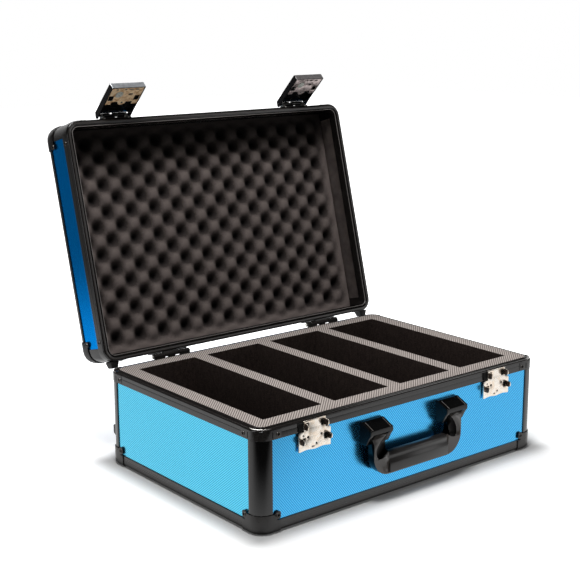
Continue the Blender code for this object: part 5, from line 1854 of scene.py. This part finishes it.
@dataclass
class Studio:
    """Floor, lamps, world and the camera at the photograph's place."""

    position: Triple = (-1.0582, -1.2200, 0.6037)
    azimuth: float = -39.232
    elevation: float = 12.880
    roll: float = -0.163
    lens: float = 75.72
    sensor: float = 36.0
    lamps: tuple[Lamp, ...] = (
        Lamp("sky", (0.1, 0.85, 1.8), 20, 0.9), Lamp("top_front", (-0.5, -0.42, 2.0), 30, 0.5),
        Lamp("low_left", (-1.6, 0.1, 0.35), 3, 0.6), Lamp("low_right", (1.5, -1.4, 0.6), 3, 0.8))
    away: Triple = (0.632, 0.775, 0.0)
    ambient: float = 0.06
    backdrop: Change = Change(0.25, 0.95, 0.03, 1.0)
    ceiling: Change = Change(0.35, 0.60, 1.0, 0.05)
    floor_size: float = 6
    floor_drop: float = 0.0004
    # Painted contact shadow: shade, near_glow and mirrored_near make the floor's colour, its glow and its
    # glow in reflections lower near the case's footprint.
    shade: Change = Change(0.0, 0.03, 0.42, 0.66)
    near_glow: Change = Change(0.0, 0.042, 0.06, 0.54)
    far_glow: Change = Change(0.05, 0.40, 0.0, 1.0)
    mirrored_side: Change = Change(-0.52, -0.24, 0.02, 1.0)
    mirrored_far: Change = Change(0.40, 1.35, 1.0, 0.20)
    mirrored_near: Change = Change(0.0, 0.02, 0.1, 1.0)

    def camera(self) -> None:
        """Sets up the camera."""
        data = bpy.data.cameras.new("view")
        data.lens, data.sensor_width, data.sensor_fit = self.lens, self.sensor, "HORIZONTAL"
        data.clip_start, data.clip_end = 0.05, 50
        turn, lift, roll = (math.radians(angle) for angle in (self.azimuth, self.elevation, self.roll))
        back = Vector((math.sin(turn) * math.cos(lift), -math.cos(turn) * math.cos(lift), math.sin(lift)))
        right = (-back).cross(UP).normalized()
        up = right.cross(-back)
        level_right = right * math.cos(roll) + up * math.sin(roll)
        level_up = up * math.cos(roll) - right * math.sin(roll)
        camera = bpy.data.objects.new("view", data)
        place = Matrix((level_right, level_up, back)).transposed().to_4x4()
        camera.matrix_world = Matrix.Translation(self.position) @ place
        bpy.context.scene.collection.objects.link(camera)
        bpy.context.scene.camera = camera

    def world(self) -> None:
        """Sets the world: white to the camera and behind the case in reflections, dim as light."""
        world = bpy.data.worlds.new("studio")
        bpy.context.scene.world = world
        world.use_nodes = True
        nodes = Nodes(world.node_tree)
        path = nodes.node("LightPath").outputs
        around = nodes.coordinates("Generated")
        backdrop = nodes.follow(nodes.reach(around, self.away), self.backdrop)
        ceiling = nodes.follow(nodes.reach(around, UP), self.ceiling)
        mirrored = nodes.math("MULTIPLY", backdrop, ceiling)
        strength = nodes.choice(path["Is Glossy Ray"], self.ambient, mirrored)
        seen = nodes.math("MAXIMUM", path["Is Camera Ray"], path["Is Transmission Ray"])
        background = world.node_tree.nodes["Background"]
        nodes.feed(background, {"Color": (1, 1, 1, 1), "Strength": nodes.choice(seen, strength, 1.0)})

    def footprint_distance(self, shader: Shader) -> Socket:
        """How far a spot of the floor lies from the case's footprint.

        Args:
            shader: The floor's material.

        Returns:
            The distance's socket.
        """
        spot = shader.vector("ABSOLUTE", shader.place)
        beyond = shader.vector("SUBTRACT", spot, (SIZES.half_length, SIZES.half_depth, 1.0))
        return shader.vector("LENGTH", shader.vector("MAXIMUM", beyond, (0, 0, 0)))

    def floor_finish(self) -> Material:
        """Makes the pale matt finish that keeps the case's shadow, darkens near the footprint as a painted
        contact shadow, and shows white in polished pieces.

        Returns:
            Its material.
        """
        shader = Shader("pale_floor")
        path = shader.node("LightPath").outputs
        distance = self.footprint_distance(shader)
        near, far = (shader.follow(distance, change) for change in (self.near_glow, self.far_glow))
        glow = shader.math("ADD", near, far)
        shader.done(Roughness=1.0, Specular_IOR_Level=0.0, Emission_Color=(1, 1, 1, 1),
                    Base_Color=shader.follow(distance, self.shade),
                    Emission_Strength=shader.choice(path["Is Camera Ray"], 0.0, glow))
        strength = shader.follow(shader.along(self.away), self.mirrored_side)
        for change in (self.mirrored_far, self.mirrored_near):
            strength = shader.math("MULTIPLY", strength, shader.follow(distance, change))
        mirrored = shader.node("Emission", {"Strength": strength})
        blend = shader.node("MixShader", {0: path["Is Glossy Ray"], 1: shader.surface.outputs[0],
                                          2: mirrored.outputs[0]})
        shader.feed(shader.tree.nodes["Material Output"], {"Surface": blend.outputs[0]})
        return shader.material

    def floor(self) -> None:
        """Lays the floor."""
        work = bmesh.new()
        bmesh.ops.create_grid(work, x_segments=1, y_segments=1, size=self.floor_size)
        mesh = bpy.data.meshes.new("studio_floor")
        work.to_mesh(mesh)
        work.free()
        floor = bpy.data.objects.new("studio_floor", mesh)
        floor.location.z = -self.floor_drop
        bpy.context.scene.collection.objects.link(floor)
        mesh.materials.append(self.floor_finish())

    def build(self) -> None:
        """Sets up the studio."""
        self.camera()
        for lamp in self.lamps:
            lamp.hang()
        self.world()
        self.floor()
        bpy.context.scene.view_settings.view_transform = "Standard"


def main() -> None:
    """Builds the case's looks sub-assembly by sub-assembly."""
    logging.basicConfig(level=logging.INFO, format="%(name)s: %(message)s")
    Studio().build()
    finishes = Finishes()
    for assembly in (SkinnedParts, FoamInsert, CrateSheet, CornerFittings, CornerLips, LidBeads):
        assembly(finishes).build()
    for label, side in BOTH_SIDES:
        Keeper(finishes, label, side).build()
        Latch(finishes, label, side).build()
    Handle(finishes).build()
    HingeSide(finishes).build()


if __name__ == "__main__":
    main()
